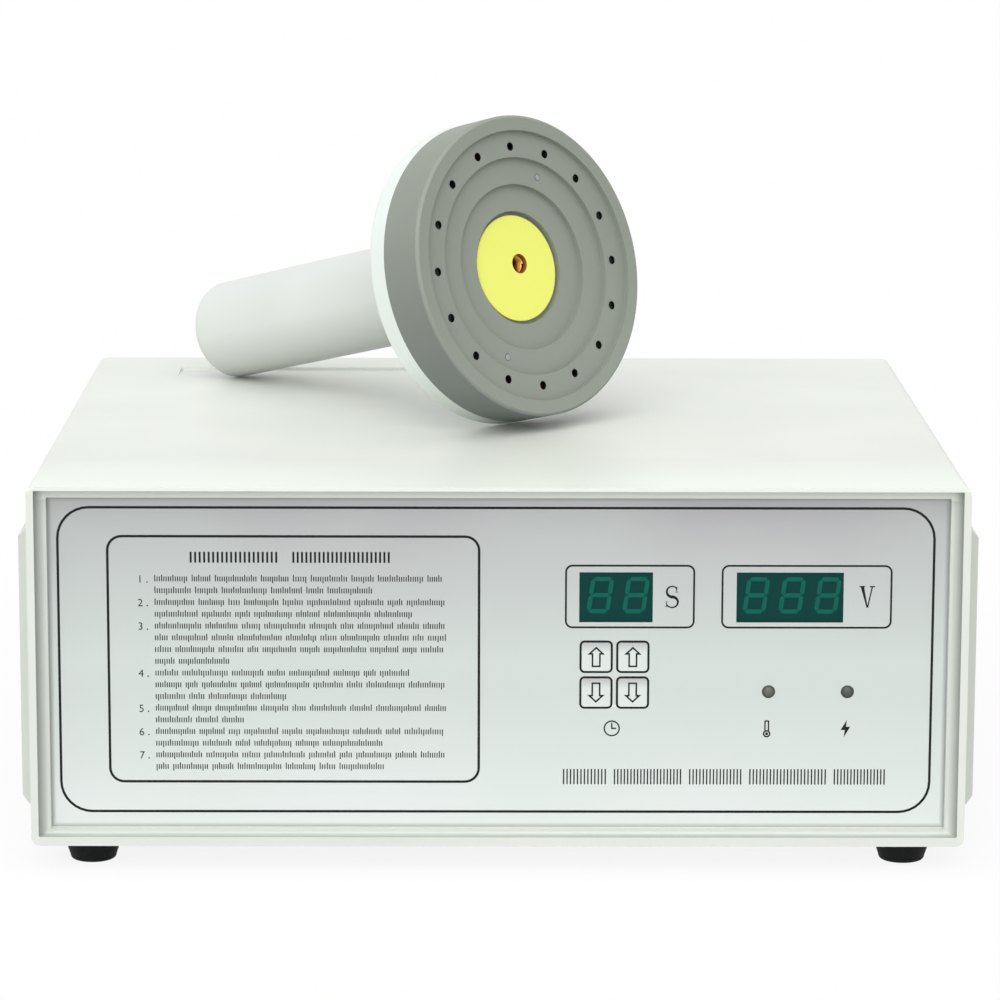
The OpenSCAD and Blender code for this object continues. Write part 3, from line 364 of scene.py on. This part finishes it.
def metal(name, colour, roughness, streak=(1, 1, 1), size=0.8, depth=0.004):
    """Bare or plated metal, with fine marks that can be drawn out along an axis."""
    finish = Finish(name, Metallic=1.0)
    marks = finish.noise(size, 3.0, finish.stretched(streak))
    red, green, blue = colour
    worn = paint(red * 0.82, green * 0.82, blue * 0.82)
    finish.set({"Base_Color": finish.blend(marks, worn, paint(*colour))})
    finish.set({"Roughness": roughness - 0.07 + 0.14 * marks})
    finish.relief(marks, depth)
    return finish


steel_finish = metal("plated_steel", screw_zinc, 0.32)
screw_nodes = (
    "case_screws", "cover_screws", "spacer_screws", "power_board_screws",
    "fan_screws", "face_screws", "board_spacers",
)
steel_finish.on(*[nodes[name] for name in screw_nodes])
for name in ("cover_screws", "fan_screws", "face_screws"):
    soften(nodes[name], 0.15 * MM)

# Front and rear panels.
# Flat panels that slide into the seats behind the rims of the two shells. The front one is faced with a
# satin silver film, with painted shade at the top under the rim and a painted reflection that lightens it
# towards the bottom; the rear one is the plastic of the case.
film_top_shade = (175, 173, 176)
film_middle = (206, 213, 209)
film_low = (224, 229, 227)
film_shade = (150, 152, 150)
film_green = (205, 219, 212)
panel_low, panel_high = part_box("front_panel")
panel_front = panel_low.y
panel_mid = (panel_low.z + panel_high.z) / 2

film_finish = Finish("panel_film", Metallic=0.25)
# Painted reflection and shade: darker at the top under the rim, lighter towards the bottom.
film_z = film_finish.axis("Z") - panel_mid / MM
film_lower = film_finish.blend(film_finish.ramp(film_z, -50, -10), paint(*film_low), paint(*film_middle))
film_upper = film_finish.blend(film_finish.ramp(film_z, 0, 52), film_lower, paint(*film_top_shade))
film_drift = film_finish.ramp(film_finish.noise(90), 0.35, 0.65)
film_tint = film_finish.blend(film_drift * 0.25, film_upper, paint(*film_green))
# Painted shade along the film's edges; below its foot the bare plastic shows, in the mouths' painted shade.
film_x, film_foot, film_head = 158.5, 13.9 - panel_mid / MM, 133.3 - panel_mid / MM
film_in = (film_x - abs(film_finish.axis("X"))).least(film_head - film_z).least(film_z - film_foot)
film_edge_shade = film_finish.blend(film_finish.ramp(film_in, 0.1, 1.7) * 0.8 + 0.2, paint(*film_shade), film_tint)
film_finish.set({"Base_Color": film_finish.blend(film_z > film_foot, paint(*mouth_pale_shade), film_edge_shade)})
film_brush = film_finish.noise(0.35, 2.0, film_finish.stretched((0.02, 1, 1)))
film_finish.set({"Roughness": 0.36 + 0.14 * film_brush})
film_finish.relief(film_brush, 0.006)
film_finish.on(nodes["front_panel"])
case_finish.on(nodes["rear_panel"])
for name in ("front_panel", "rear_panel"):
    soften(nodes[name], 0.15 * MM)

# Panel print.
# Black silk-screen ink on the film: the border, the frames of the left block and of the windows, rows of
# plain ticks with numbers beside them, two unit letters and three plain symbols.
ink_black = (20, 21, 24)
ink_worn = (84, 86, 88)
ink_rise, ink_sink, ink_weld = 0.03 * MM, 0.02 * MM, 0.002 * MM
heavy_line, fine_line = 0.9, 0.68
arc_steps = 8
golden, tall_above, deep_below = 0.618034, 0.82, 0.06

ink_finish = Finish("screen_ink", Specular_IOR_Level=0.2)
ink_wear = ink_finish.ramp(ink_finish.noise(0.8, 3.0), 0.55, 0.8)
ink_finish.set({"Base_Color": ink_finish.blend(ink_wear * 0.15, paint(*ink_black), paint(*ink_worn))})
ink_finish.set({"Roughness": 0.42 + 0.2 * ink_finish.noise(2)})
ink_finish.relief(ink_finish.noise(0.2), 0.004)


def rounded(x, z, wide, high, radius, steps=arc_steps):
    """The outline of a rounded rectangle about (x, z), anticlockwise, as seen from the front."""
    corners = ((1, -1, -90), (1, 1, 0), (-1, 1, 90), (-1, -1, 180))
    points = []
    for right, up, start in corners:
        for i in range(steps + 1):
            turn = math.radians(start + 90 * i / steps)
            points.append((
                x + right * (wide / 2 - radius) + radius * math.cos(turn),
                z + up * (high / 2 - radius) + radius * math.sin(turn),
            ))
    return points


def band(outer, inner):
    """The faces between two outlines of as many points each."""
    count = len(outer)
    return [
        [outer[i], outer[(i + 1) % count], inner[(i + 1) % count], inner[i]]
        for i in range(count)
    ]


def frame_line(x, z, wide, high, radius, line):
    """A drawn frame, whose line is centred on the rounded rectangle."""
    outer = rounded(x, z, wide + line, high + line, radius + line / 2)
    return band(outer, rounded(x, z, wide - line, high - line, max(radius - line / 2, 0.05)))


def inset(points, line):
    """The outline moved inwards by line, with mitred corners."""
    moved = []
    for i, (x, z) in enumerate(points):
        before, after = points[i - 1], points[(i + 1) % len(points)]
        first = Vector((x - before[0], z - before[1])).normalized()
        second = Vector((after[0] - x, after[1] - z)).normalized()
        inward = Vector((-first.y - second.y, first.x + second.x))
        inward *= line * 2 / inward.length_squared
        moved.append((x + inward.x, z + inward.y))
    return moved


def disc(x, z, radius, steps=32):
    """A round outline."""
    turns = [2 * math.pi * i / steps for i in range(steps)]
    return [(x + radius * math.cos(t), z + radius * math.sin(t)) for t in turns]


def dash(x0, x1, z, high):
    """A short ruled dash with round ends."""
    return rounded((x0 + x1) / 2, z, x1 - x0, high, high * 0.49, 4)


def ticks(x0, x1, z, high, step, line, reach, seed):
    """A row of close upright ticks from x0 to x1, a few of them longer by a reach."""
    count = max(2, round((x1 - x0 - line) / step))
    pitch = (x1 - x0 - line) / count
    faces = []
    for i in range(count + 1):
        chance = ((seed + i) * golden + seed * 0.37) % 1
        left, right = x0 + i * pitch, x0 + i * pitch + line
        top = z + high / 2 + (reach if chance > tall_above else 0)
        foot = z - high / 2 - (reach if chance < deep_below else 0)
        faces.append([(left, foot), (right, foot), (right, top), (left, top)])
    return faces


def tick_line(x0, x1, z, high, step, line, shortest, spread, gap, seed, reach=0):
    """Rows of ticks of uneven lengths, with gaps between them, that fill a line from x0 to x1."""
    faces = []
    x, turn = x0, seed
    while x < x1 - shortest:
        turn += 1
        length = shortest + spread * ((turn * golden) % 1)
        end = x1 if x + length + gap + shortest > x1 else x + length
        faces += ticks(x, end, z, high, step, line, reach, turn)
        x = end + gap
    return faces


def inked(name, faces, place, body, finish=ink_finish):
    """Flat shapes as a thin film of ink, where place gives each of their points on the part."""
    mesh = bpy.data.meshes.new(name)
    work = bmesh.new()
    for points in faces:
        work.faces.new([work.verts.new(place(x, z)) for x, z in points])
    bmesh.ops.remove_doubles(work, verts=work.verts, dist=ink_weld)
    work.to_mesh(mesh)
    work.free()
    piece = bpy.data.objects.new(name, mesh)
    bpy.context.scene.collection.objects.link(piece)
    film = piece.modifiers.new("film", "SOLIDIFY")
    film.thickness = ink_rise + ink_sink
    film.offset = -1
    finish.on(piece)
    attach(piece, body)


def printed(name, faces, front, body, finish=ink_finish):
    """Shapes in panel places, printed on a face of the part that looks to the front."""
    inked(name, faces, lambda x, z: (x * MM, front - ink_rise, panel_mid + z * MM), body, finish)


border = frame_line(-0.9, 0.9, 308.05, 109.8, 11, heavy_line)
block_x, block_z, block_w, block_h = -72.2, 1.2, 130.6, 88.6
border += frame_line(block_x, block_z, block_w, block_h, 5, heavy_line)
window_frame_z, window_frame_h = 24.1, 22.2
border += frame_line(46.25, window_frame_z, 45.1, window_frame_h, 2.3, fine_line)
border += frame_line(108.55, window_frame_z, 59.5, window_frame_h, 2.3, fine_line)
printed("panel_frames", border, panel_front, "case")

# Lines of ticks: their lengths in millimetres, and which of them have a number beside them.
line_start, line_top, line_pitch, line_high = -121.1, 30.2, 4.244, 1.75
line_step, line_pen, line_reach = 0.8, 0.37, 0.61
row_shortest, row_spread, row_gap = 3.5, 13, 1.6
line_lengths = (101, 76.5, 102, 90.5, 102, 102.5, 101.5, 26, 89.5, 102, 46, 102.5, 31, 101.5, 80, 102, 80.5)
numbered_lines = (0, 2, 4, 8, 11, 13, 15)
number_x, number_high = -127.1, 2.7
rules = tick_line(
    x0=-108.6, x1=-38.3, z=38.0, high=3.9, step=1.55, line=0.72, shortest=27, spread=8, gap=5.3, seed=3
)
for row, length in enumerate(line_lengths):
    rules += tick_line(
        line_start, line_start + length, line_top - row * line_pitch, line_high, line_step, line_pen,
        row_shortest, row_spread, row_gap, seed=5 * row, reach=line_reach,
    )
rules += tick_line(
    x0=23, x1=137.3, z=-41.2, high=5.6, step=1.2, line=0.48, shortest=14, spread=14, gap=2.8, seed=4
)
printed("instruction_rules", rules, panel_front, "case")


def lettered(text, x, z, high):
    """The faces of a plain numeral that stands on (x, z)."""
    letter = bpy.data.curves.new("numeral", "FONT")
    letter.body = text
    letter.size = high / 0.7
    holder = bpy.data.objects.new("numeral", letter)
    bpy.context.scene.collection.objects.link(holder)
    shape = holder.to_mesh()
    faces = [
        [(x + shape.vertices[i].co.x, z + shape.vertices[i].co.y) for i in face.vertices]
        for face in shape.polygons
    ]
    holder.to_mesh_clear()
    bpy.data.objects.remove(holder)
    bpy.data.curves.remove(letter)
    return faces


numbers = []
for step, row in enumerate(numbered_lines):
    foot_line = line_top - row * line_pitch - number_high / 2
    numbers += lettered(str(step + 1), number_x, foot_line, number_high)
    numbers.append(disc(number_x + 3.4, foot_line + 0.25, 0.27, 12))
printed("instruction_numbers", numbers, panel_front, "case")


def pen(points, widths):
    """A drawn stroke through points, as wide at each as widths says."""
    left, right = [], []
    for i, point in enumerate(points):
        before, after = points[max(i - 1, 0)], points[min(i + 1, len(points) - 1)]
        along = Vector((after[0] - before[0], after[1] - before[1])).normalized()
        side = Vector((-along.y, along.x)) * widths[i] / 2
        left.append((point[0] + side.x, point[1] + side.y))
        right.append((point[0] - side.x, point[1] - side.y))
    return [[right[i], right[i + 1], left[i + 1], left[i]] for i in range(len(points) - 1)]


# Unit letters, drawn with a broad nib: seconds beside the time window, volts beside the voltage window.
unit_z, unit_high, unit_wide, thick, thin = 24.0, 7.6, 4.4, 1.15, 0.45
seconds_x, volts_x = 61.1, 129.8
curl_steps = 18
upper, lower = [], []
for i in range(curl_steps + 1):
    part = i / curl_steps
    turn = math.radians(30 + 240 * part)
    bowl_x, bowl_z = unit_wide / 2 * 0.86, unit_high / 4
    upper.append((seconds_x + bowl_x * math.cos(turn), unit_z + bowl_z * (1 + math.sin(turn))))
    turn = math.radians(90 - 240 * part)
    lower.append((seconds_x + bowl_x * 1.08 * math.cos(turn), unit_z + bowl_z * (math.sin(turn) - 1)))
nib = [thin + (thick - thin) * (i / curl_steps) ** 2 for i in range(curl_steps + 1)]
units = pen(upper, nib) + pen(lower, nib[::-1])
units += [dash(seconds_x + 1.35, seconds_x + 1.75, unit_z + 2.6, 1.9)]
units += [dash(seconds_x - 2.15, seconds_x - 1.75, unit_z - 2.6, 1.9)]
volt_top, volt_low = unit_z + unit_high / 2, unit_z - unit_high / 2
units += pen([(volts_x - 1.75, volt_top), (volts_x + 0.1, volt_low)], [thick, thin])
units += pen([(volts_x + 1.8, volt_top), (volts_x + 0.2, volt_low)], [thin, thin])
for side in (-1.75, 1.8):
    units.append(dash(volts_x + side - 1.0, volts_x + side + 1.0, volt_top, thin))
printed("unit_letters", units, panel_front, "case")

# Symbols: a clock under the keys, a thermometer under the heat lamp, a flash under the current lamp.
symbol_z, symbol_line = -23.6, 0.5
clock_x, heat_x, current_x = 40.2, 95.1, 123.0
symbols = band(disc(clock_x, symbol_z, 2.9), disc(clock_x, symbol_z, 2.9 - symbol_line))
symbols += [dash(clock_x - 0.2, clock_x + 1.6, symbol_z, symbol_line)]
symbols += pen([(clock_x, symbol_z - 0.2), (clock_x, symbol_z + 2.0)], [symbol_line] * 2)
symbols += band(disc(heat_x, symbol_z - 1.9, 1.35), disc(heat_x, symbol_z - 1.9, 0.8))
symbols += pen([(heat_x - 0.62, symbol_z - 0.75), (heat_x - 0.62, symbol_z + 2.6)], [symbol_line] * 2)
symbols += pen([(heat_x + 0.62, symbol_z - 0.75), (heat_x + 0.62, symbol_z + 2.6)], [symbol_line] * 2)
symbols += [dash(heat_x - 0.83, heat_x + 0.83, symbol_z + 2.75, symbol_line)]
symbols += [disc(heat_x, symbol_z - 1.9, 0.55, 16)]
flash = ((0.5, 3.2), (-1.7, -0.5), (-0.2, -0.5), (-0.6, -3.2), (1.7, 0.7), (0.2, 0.7))
symbols.append([(current_x + x, symbol_z + z) for x, z in flash])
printed("lamp_symbols", symbols, panel_front, "case")

# Windows and digits.
# Two smoked green acrylic windows, with the unlit digits of the displays just showing through.
# The digits are seven-bar figures that lean to the right; each window is pressed in from behind.
window_green = (2, 61, 57)
window_edge_shade = (12, 40, 44)
digit_green, digit_deep = (12, 104, 88), (6, 90, 79)
digit_pitch, digit_high, digit_wide, digit_bar, digit_lean = 12.6, 11.6, 6.6, 1.5, 0.14
digit_right, digit_rise = 0.75, 0.75

digit_finish = Finish("unlit_digit", Roughness=0.3, Specular_IOR_Level=0.12)
digit_cloud = digit_finish.noise(3)
digit_finish.set({"Base_Color": digit_finish.blend(digit_cloud, paint(*digit_deep), paint(*digit_green))})


def leaning_bar(x, z, upright_bar):
    """One bar of a figure, with pointed ends."""
    half = (digit_high / 2 if upright_bar else digit_wide) / 2 - 0.12
    nose = digit_bar / 2
    ends = (
        (-half, 0), (-half + nose, -nose), (half - nose, -nose),
        (half, 0), (half - nose, nose), (-half + nose, nose),
    )
    if upright_bar:
        ends = [(-b, a) for a, b in ends]
    return [(x + a, z + b) for a, b in ends]


def figure(x, z):
    """The seven bars of a figure about (x, z)."""
    half, side = digit_high / 2, digit_wide / 2
    bars = [leaning_bar(0, level_z, False) for level_z in (-half, 0, half)]
    bars += [leaning_bar(right * side, up * half / 2, True) for right in (-1, 1) for up in (-1, 1)]
    return [[(x + a + b * digit_lean, z + b) for a, b in bar] for bar in bars]


def window_finish(name, low, high):
    """Smoked acrylic, with painted shade towards its edges."""
    finish = Finish(name, Roughness=0.16, Specular_IOR_Level=0.12)
    from_side = (finish.axis("X") - low.x / MM).least(high.x / MM - finish.axis("X"))
    from_end = ((finish.axis("Z") - low.z / MM) * 0.6).least(high.z / MM - finish.axis("Z"))
    inside = finish.ramp(from_side.least(from_end), 0.2, 2.2)
    finish.set({"Base_Color": finish.blend(inside, paint(*window_edge_shade), paint(*window_green))})
    return finish


for name, count in (("time", 2), ("voltage", 3)):
    window = nodes[f"{name}_window"]
    low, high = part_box(f"{name}_window")
    window_finish(f"{name}_acrylic", low, high).on(window)
    middle_x = (low.x + high.x) / 2 / MM
    middle_z = ((low.z + high.z) / 2 - panel_mid) / MM
    bars = []
    for i in range(count):
        bars += figure(middle_x + (i - (count - 1) / 2) * digit_pitch + digit_right, middle_z + digit_rise)
    printed(f"{name}_digits", bars, low.y, "case", digit_finish)

# Keys.
# Four square keys of pale grey plastic, each in a black printed outline, with an outlined arrow: up in
# the upper row and down in the lower. Each is pushed through the panel on to a small switch.
key_pale = (224, 231, 227)
key_shade = (186, 188, 188)
key_line, arrow_line = 0.74, 0.58
key_frame, key_round = 11.05, 1.5
arrow_up = ((0, 3.7), (-3.1, 0.8), (-1.6, 0.8), (-1.6, -3.7), (1.6, -3.7), (1.6, 0.8), (3.1, 0.8))
key_outlines = []
for row, turned in (("up", 1), ("down", -1)):
    for column in ("tens", "units"):
        name = f"key_{column}_{row}"
        low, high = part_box(name)
        key_x = (low.x + high.x) / 2 / MM
        key_z = ((low.z + high.z) / 2 - panel_mid) / MM
        finish = Finish(f"{name}_cap")
        # Painted shade darkens each cap towards its top edge.
        height = finish.axis("Z") - (panel_mid / MM + key_z)
        shade = finish.ramp(height, 1.5, 5.2)
        finish.set({"Base_Color": finish.blend(shade, paint(*key_pale), paint(*key_shade))})
        finish.set({"Roughness": 0.38 + 0.15 * finish.noise(1.2)})
        finish.relief(finish.noise(0.3), 0.008)
        finish.on(nodes[name])
        soften(nodes[name], 0.25 * MM)
        outline = [(key_x + turned * x, key_z + turned * z) for x, z in arrow_up]
        printed(f"{name}_arrow", band(outline, inset(outline, arrow_line)), low.y, name)
        key_outlines += frame_line(key_x, key_z, key_frame, key_frame, key_round, key_line)
printed("key_outlines", key_outlines, panel_front, "case")
moulded("key_switch_black", (36, 36, 38), 0.45).on(nodes["key_switches"])

# Lamps.
# Two small round lamps of smoky clear plastic, dark while they are off, pushed in from behind the panel.
lamp_rim = (58, 62, 59)
for name, lamp_middle in (("heat_lamp", (102, 108, 98)), ("current_lamp", (80, 88, 84))):
    low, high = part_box(name)
    finish = Finish(f"{name}_lens", Roughness=0.3, Specular_IOR_Level=0.3)
    off_x = finish.axis("X") - (low.x + high.x) / 2 / MM
    off_z = finish.axis("Z") - (low.z + high.z) / 2 / MM
    out = finish.ramp((off_x * off_x + off_z * off_z).root(), 1.2, 2.2)
    spot = finish.ramp(finish.noise(1.4), 0.35, 0.7)
    tone = finish.blend(spot * 0.5, paint(*lamp_middle), paint(84, 92, 84))
    finish.set({"Base_Color": finish.blend(out, tone, paint(*lamp_rim))})
    finish.on(nodes[name])

# Display parts.
# Black display blocks and a buzzer stand on a green board, which hangs on spacers behind the panel.
board_green = (34, 96, 56)


def circuit(name):
    """Solder-masked board: green lacquer over faint copper tracks."""
    finish = Finish(name, Roughness=0.35)
    lanes = finish.node("TexBrick", {"offset": 0.37}, {
        "Vector": finish.place, "Scale": 1 / (14 * MM), "Mortar Size": 0.04, "Mortar Smooth": 0.1,
    }, "Fac")
    track = lanes * finish.ramp(finish.noise(12), 0.45, 0.55)
    finish.set({"Base_Color": finish.blend(track, paint(*board_green), paint(64, 132, 78))})
    finish.relief(track, 0.03)
    return finish


circuit("circuit_board").on(nodes["display_board"], nodes["power_board"])
dark_finish = moulded("black_plastic", (38, 39, 41), 0.4, 0.5, 0.015, 0.12)
dark_finish.on(*[nodes[name] for name in ("time_display", "voltage_display", "buzzer")])

# Power parts.
# Extruded heat sink with the power devices on it, transformer, capacitors and rectifier, all on the
# power board. They are seen only through the vents.
sink_finish = metal("extruded_aluminium", (196, 198, 200), 0.38, (0.05, 0.05, 1))
sink_finish.on(nodes["heat_sink"])
soften(nodes["heat_sink"], 0.15 * MM)
dark_finish.on(nodes["power_transistors"], nodes["bridge_rectifier"])
core_finish = moulded("ferrite", (62, 62, 66), 0.6, 0.4, 0.03, 0.15)
core_finish.on(nodes["transformer_core"], nodes["ferrite_bars"])


def wound(name, along, pitch):
    """Varnished copper wire in close turns along one axis, with painted shade in the grooves between the
    turns.
    """
    finish = Finish(name, Metallic=0.85, Roughness=0.3)
    turn = finish.axis(along) * (1 / pitch)
    crown = abs(turn.fraction() - 0.5) * 2
    # Painted shade in the grooves between the turns.
    finish.set({"Base_Color": finish.blend(crown, paint(196, 118, 70), paint(104, 52, 28))})
    finish.relief(1 - crown * crown, 0.25)
    return finish


wound("copper_wire", "Z", 1.1).on(nodes["transformer_winding"])
moulded("capacitor_film", (172, 120, 58), 0.35).on(nodes["resonant_capacitors"])
moulded("capacitor_sleeve", (40, 48, 78), 0.3).on(nodes["smoothing_capacitor"])

# Fan.
# A square axial fan of black plastic blows out through the slots punched in the rear panel.
dark_finish.on(nodes["fan_frame"], nodes["fan_rotor"])
soften(nodes["fan_frame"], 0.3 * MM)
soften(nodes["fan_rotor"], 0.2 * MM)

# Rear fittings.
# Mains inlet, fuse holder with a slotted cap, rocker switch and the socket of the head's lead, all
# black plastic and metal, snapped or nutted into the rear panel. The rocker carries the usual strokes.
for name in ("mains_inlet", "fuse_holder", "fuse_cap", "switch_body"):
    dark_finish.on(nodes[name])
    soften(nodes[name], 0.25 * MM)
metal("tinned_brass", (206, 198, 170), 0.28).on(nodes["inlet_pins"], nodes["socket_contacts"])
metal("nickel", (190, 190, 188), 0.26).on(nodes["head_socket"])
soften(nodes["head_socket"], 0.25 * MM)
moulded("rocker_red", (176, 34, 30), 0.3, 0.5, 0.01).on(nodes["switch_rocker"])
soften(nodes["switch_rocker"], 0.3 * MM)

# Strokes of the rocker: a bar on its upper face and a ring on its lower one, in white ink.
rocker_joints = frame["record"]["behaviour"]["joints"]
rocker_hinge = Vector(next(joint["pos_m"] for joint in rocker_joints if joint["name"] == "power_rock"))
rocker_rest, rocker_dip, rocker_rise, rocker_half = math.radians(10), 2.4, 4.3, 12.0
stroke_finish = moulded("stroke_white", (228, 229, 226), 0.5)


def on_rocker(x, z):
    """A place on the rocker's two faces, seen from behind, at rest."""
    out = rocker_dip + (rocker_rise - rocker_dip) * abs(z) / rocker_half + ink_rise / MM
    up = z * math.cos(rocker_rest) - out * math.sin(rocker_rest)
    back = z * math.sin(rocker_rest) + out * math.cos(rocker_rest)
    return rocker_hinge + Vector((-x, back, up)) * MM


strokes = [rounded(0, 6.3, 0.9, 4.2, 0.3, 3)]
strokes += band(disc(0, -6.3, 2.2), disc(0, -6.3, 1.4))
inked("rocker_strokes", strokes, on_rocker, "switch_rocker", stroke_finish)

# Drive recesses of the screws in the covers and round the fan: painted shade, drawn as dark crosses on their
# heads.
recess_shade_finish = Finish("drive_recess_shade", Roughness=0.6)
recess_cloud = recess_shade_finish.noise(0.5)
recess_shade_finish.set({"Base_Color": recess_shade_finish.blend(recess_cloud, paint(40, 41, 43), paint(66, 67, 69))})


def cross(x, z, arm, wide):
    """The outline of an upright cross."""
    corner = ((arm, -wide), (arm, wide), (wide, wide), (wide, arm))
    points = []
    for turn in range(4):
        across_x, along_x = ((1, 0), (0, 1), (-1, 0), (0, -1))[turn]
        points += [(x + a * across_x - b * along_x, z + a * along_x + b * across_x) for a, b in corner[:3]]
    return points


low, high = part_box("cover_screws")
cover_head, fan_head = 2.8, 3.6
for side, outer in ((-1, low.x - ink_rise), (1, high.x + ink_rise)):
    marks = [
        cross(side * y, z, 1.5, 0.28)
        for y in (low.y / MM + cover_head, high.y / MM - cover_head)
        for z in (low.z / MM + cover_head, high.z / MM - cover_head)
    ]
    name = "cover_screw_recesses_" + ("left" if side < 0 else "right")
    inked(name, marks, lambda y, z: (outer, side * y * MM, z * MM), "case", recess_shade_finish)
low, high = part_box("fan_screws")
marks = [
    cross(-x, z, 2.0, 0.34)
    for x in (low.x / MM + fan_head, high.x / MM - fan_head)
    for z in (low.z / MM + fan_head, high.z / MM - fan_head)
]
inked("fan_screw_recesses", marks, lambda x, z: (-x * MM, high.y + ink_rise, z * MM), "case", recess_shade_finish)

# Sealing head.
# A grey moulded face with three turned steps and a ring of air holes, closed behind by a white shell.
# A coil and its ferrite bars lie behind the face; a yellow disc and a brass insert sit in its middle.
# Painted shade darkens the low sides of the face, the shell and the handle, which look towards the case, and
# the air holes and the two bores in the middle are painted dark for the shade in them.
face_grey = (143, 149, 139)
head_white, head_shade = (236, 244, 239), (196, 200, 193)
handle_white, handle_shade = (224, 228, 224), (198, 200, 196)
disc_yellow, disc_deep = (246, 249, 124), (238, 242, 112)
bore_shaded_brown, hole_shadow_black = (150, 96, 34), (6, 7, 6)
wall_shade = (112, 118, 115)
brass_light, brass_bore_shade = (204, 146, 72), (74, 36, 12)

mounts = {mount["name"]: mount for mount in frame["record"]["mounts"]}
head_axis = -Vector(mounts["head_lead"]["axis"])
head_right = Vector((-head_axis.y, head_axis.x, 0)).normalized()
head_up = head_axis.cross(head_right)
disc_low, disc_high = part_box("centre_disc")
disc_middle = (disc_low + disc_high) / 2
bore_right, bore_up, bore_mouth = 2.0, 1.5, -0.75
ring_level, hole_inner, hole_outer, wall_inner = 6.45, 43.4, 47.3, 52.6


def on_head(right, up, out):
    """A place in millimetres from the middle of the yellow disc."""
    return disc_middle + (head_right * right + head_up * up + head_axis * out) * MM


def head_places(finish):
    """The same three distances, for a finish."""
    return [finish.along(direction, disc_middle) for direction in (head_right, head_up, head_axis)]


face_finish = moulded("head_grey", face_grey, 0.5, 0.6, 0.02, 0.03)
right, up, out = head_places(face_finish)
radius = (right * right + up * up).root()
# Painted shade on the low part of the face's outer wall.
low_wall = face_finish.ramp(up, 20, -48) * (radius > wall_inner) * face_finish.ramp(out, 8.5, 7.5)
wall_tone = face_finish.blend(low_wall, face_finish.tone, paint(*wall_shade))
# Painted shadow: the walls of the ring of air holes are near black.
in_hole = (radius > hole_inner) * (radius < hole_outer) * (out < ring_level - 0.25)
face_finish.set({"Base_Color": face_finish.blend(in_hole, wall_tone, paint(*hole_shadow_black))})
face_finish.on(nodes["head_face"])
soften(nodes["head_face"], 0.4 * MM)
shell_finish = moulded("shell_white", head_white, 0.34, 0.9, 0.012, 0.03)
right, up, out = head_places(shell_finish)
# Painted shade on the low side of the white shell.
low_side = shell_finish.ramp(up, -28, -56)
shell_finish.set({"Base_Color": shell_finish.blend(low_side, shell_finish.tone, paint(*head_shade))})
shell_finish.on(nodes["head_shell"])
handle_finish = moulded("handle_white", handle_white, 0.34, 0.9, 0.012, 0.03)
right, up, out = head_places(handle_finish)
# Painted shade on the underside of the handle.
under_side = handle_finish.ramp(up, -2, -19)
handle_finish.set({"Base_Color": handle_finish.blend(under_side, handle_finish.tone, paint(*handle_shade))})
handle_finish.on(nodes["handle_tube"])
soften(nodes["head_shell"], 0.5 * MM)
for face in nodes["handle_tube"].data.polygons:
    face.use_smooth = True
nodes["handle_tube"].data.set_sharp_from_angle(angle=sharp_angle)

disc_finish = Finish("yellow_sheet")
disc_fibre = disc_finish.noise(0.5, 4.0)
disc_tone = disc_finish.blend(disc_fibre, paint(*disc_deep), paint(*disc_yellow))
right, up, out = head_places(disc_finish)
off_right, off_up = right - bore_right, up - bore_up
# Painted shade, in a brass brown, on the wall of the bore through the disc.
at_bore = disc_finish.ramp((off_right * off_right + off_up * off_up).root(), 3.85, 3.65)
disc_finish.set({"Base_Color": disc_finish.blend(at_bore, disc_tone, paint(*bore_shaded_brown))})
disc_finish.set({"Roughness": 0.5 + 0.2 * disc_fibre})
disc_finish.relief(disc_fibre, 0.012)
disc_finish.on(nodes["centre_disc"])
soften(nodes["centre_disc"], 0.15 * MM)

brass_finish = metal("brass", brass_light, 0.3)
right, up, out = head_places(brass_finish)
# Painted shade darkens the insert's bore with depth.
brass_depth_shade = brass_finish.ramp(out, bore_mouth - 0.6, bore_mouth - 3.5)
brass_finish.set({"Base_Color": brass_finish.blend(brass_depth_shade, paint(*brass_light), paint(*brass_bore_shade))})
brass_finish.on(nodes["centre_insert"])

# Thread of the insert: one ridge wound down its bore, in the head's own frame about the yellow disc.
thread_root, thread_crest, thread_pitch, thread_turns, turn_steps = 3.25, 2.75, 0.8, 5, 40
thread_mesh = bpy.data.meshes.new("insert_thread")
thread_work = bmesh.new()
rings = []
for i in range(thread_turns * turn_steps + 1):
    turn = 2 * math.pi * i / turn_steps
    deep = bore_mouth - 0.5 - thread_pitch * i / turn_steps
    ridge = ((thread_root, 0.36), (thread_crest, 0), (thread_root, -0.36))
    rings.append([
        thread_work.verts.new(
            on_head(bore_right + r * math.cos(turn), bore_up + r * math.sin(turn), deep + rise)
        )
        for r, rise in ridge
    ])
for first, second in zip(rings, rings[1:]):
    for i in range(3):
        thread_work.faces.new((first[i], first[(i + 1) % 3], second[(i + 1) % 3], second[i]))
thread_work.faces.new(rings[0])
thread_work.faces.new(rings[-1][::-1])
bmesh.ops.recalc_face_normals(thread_work, faces=thread_work.faces)
thread_work.to_mesh(thread_mesh)
thread_work.free()
thread = bpy.data.objects.new("insert_thread", thread_mesh)
bpy.context.scene.collection.objects.link(thread)
brass_finish.on(thread)
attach(thread, "case")
wound("coil_wire", "Z", 1.6).on(nodes["induction_coil"])

# Handle fittings.
# A trigger button in the side of the handle works a switch inside it, and a gland closes its end.
for name in ("cable_gland", "trigger_switch", "trigger_button"):
    dark_finish.on(nodes[name])
    soften(nodes[name], 0.25 * MM)
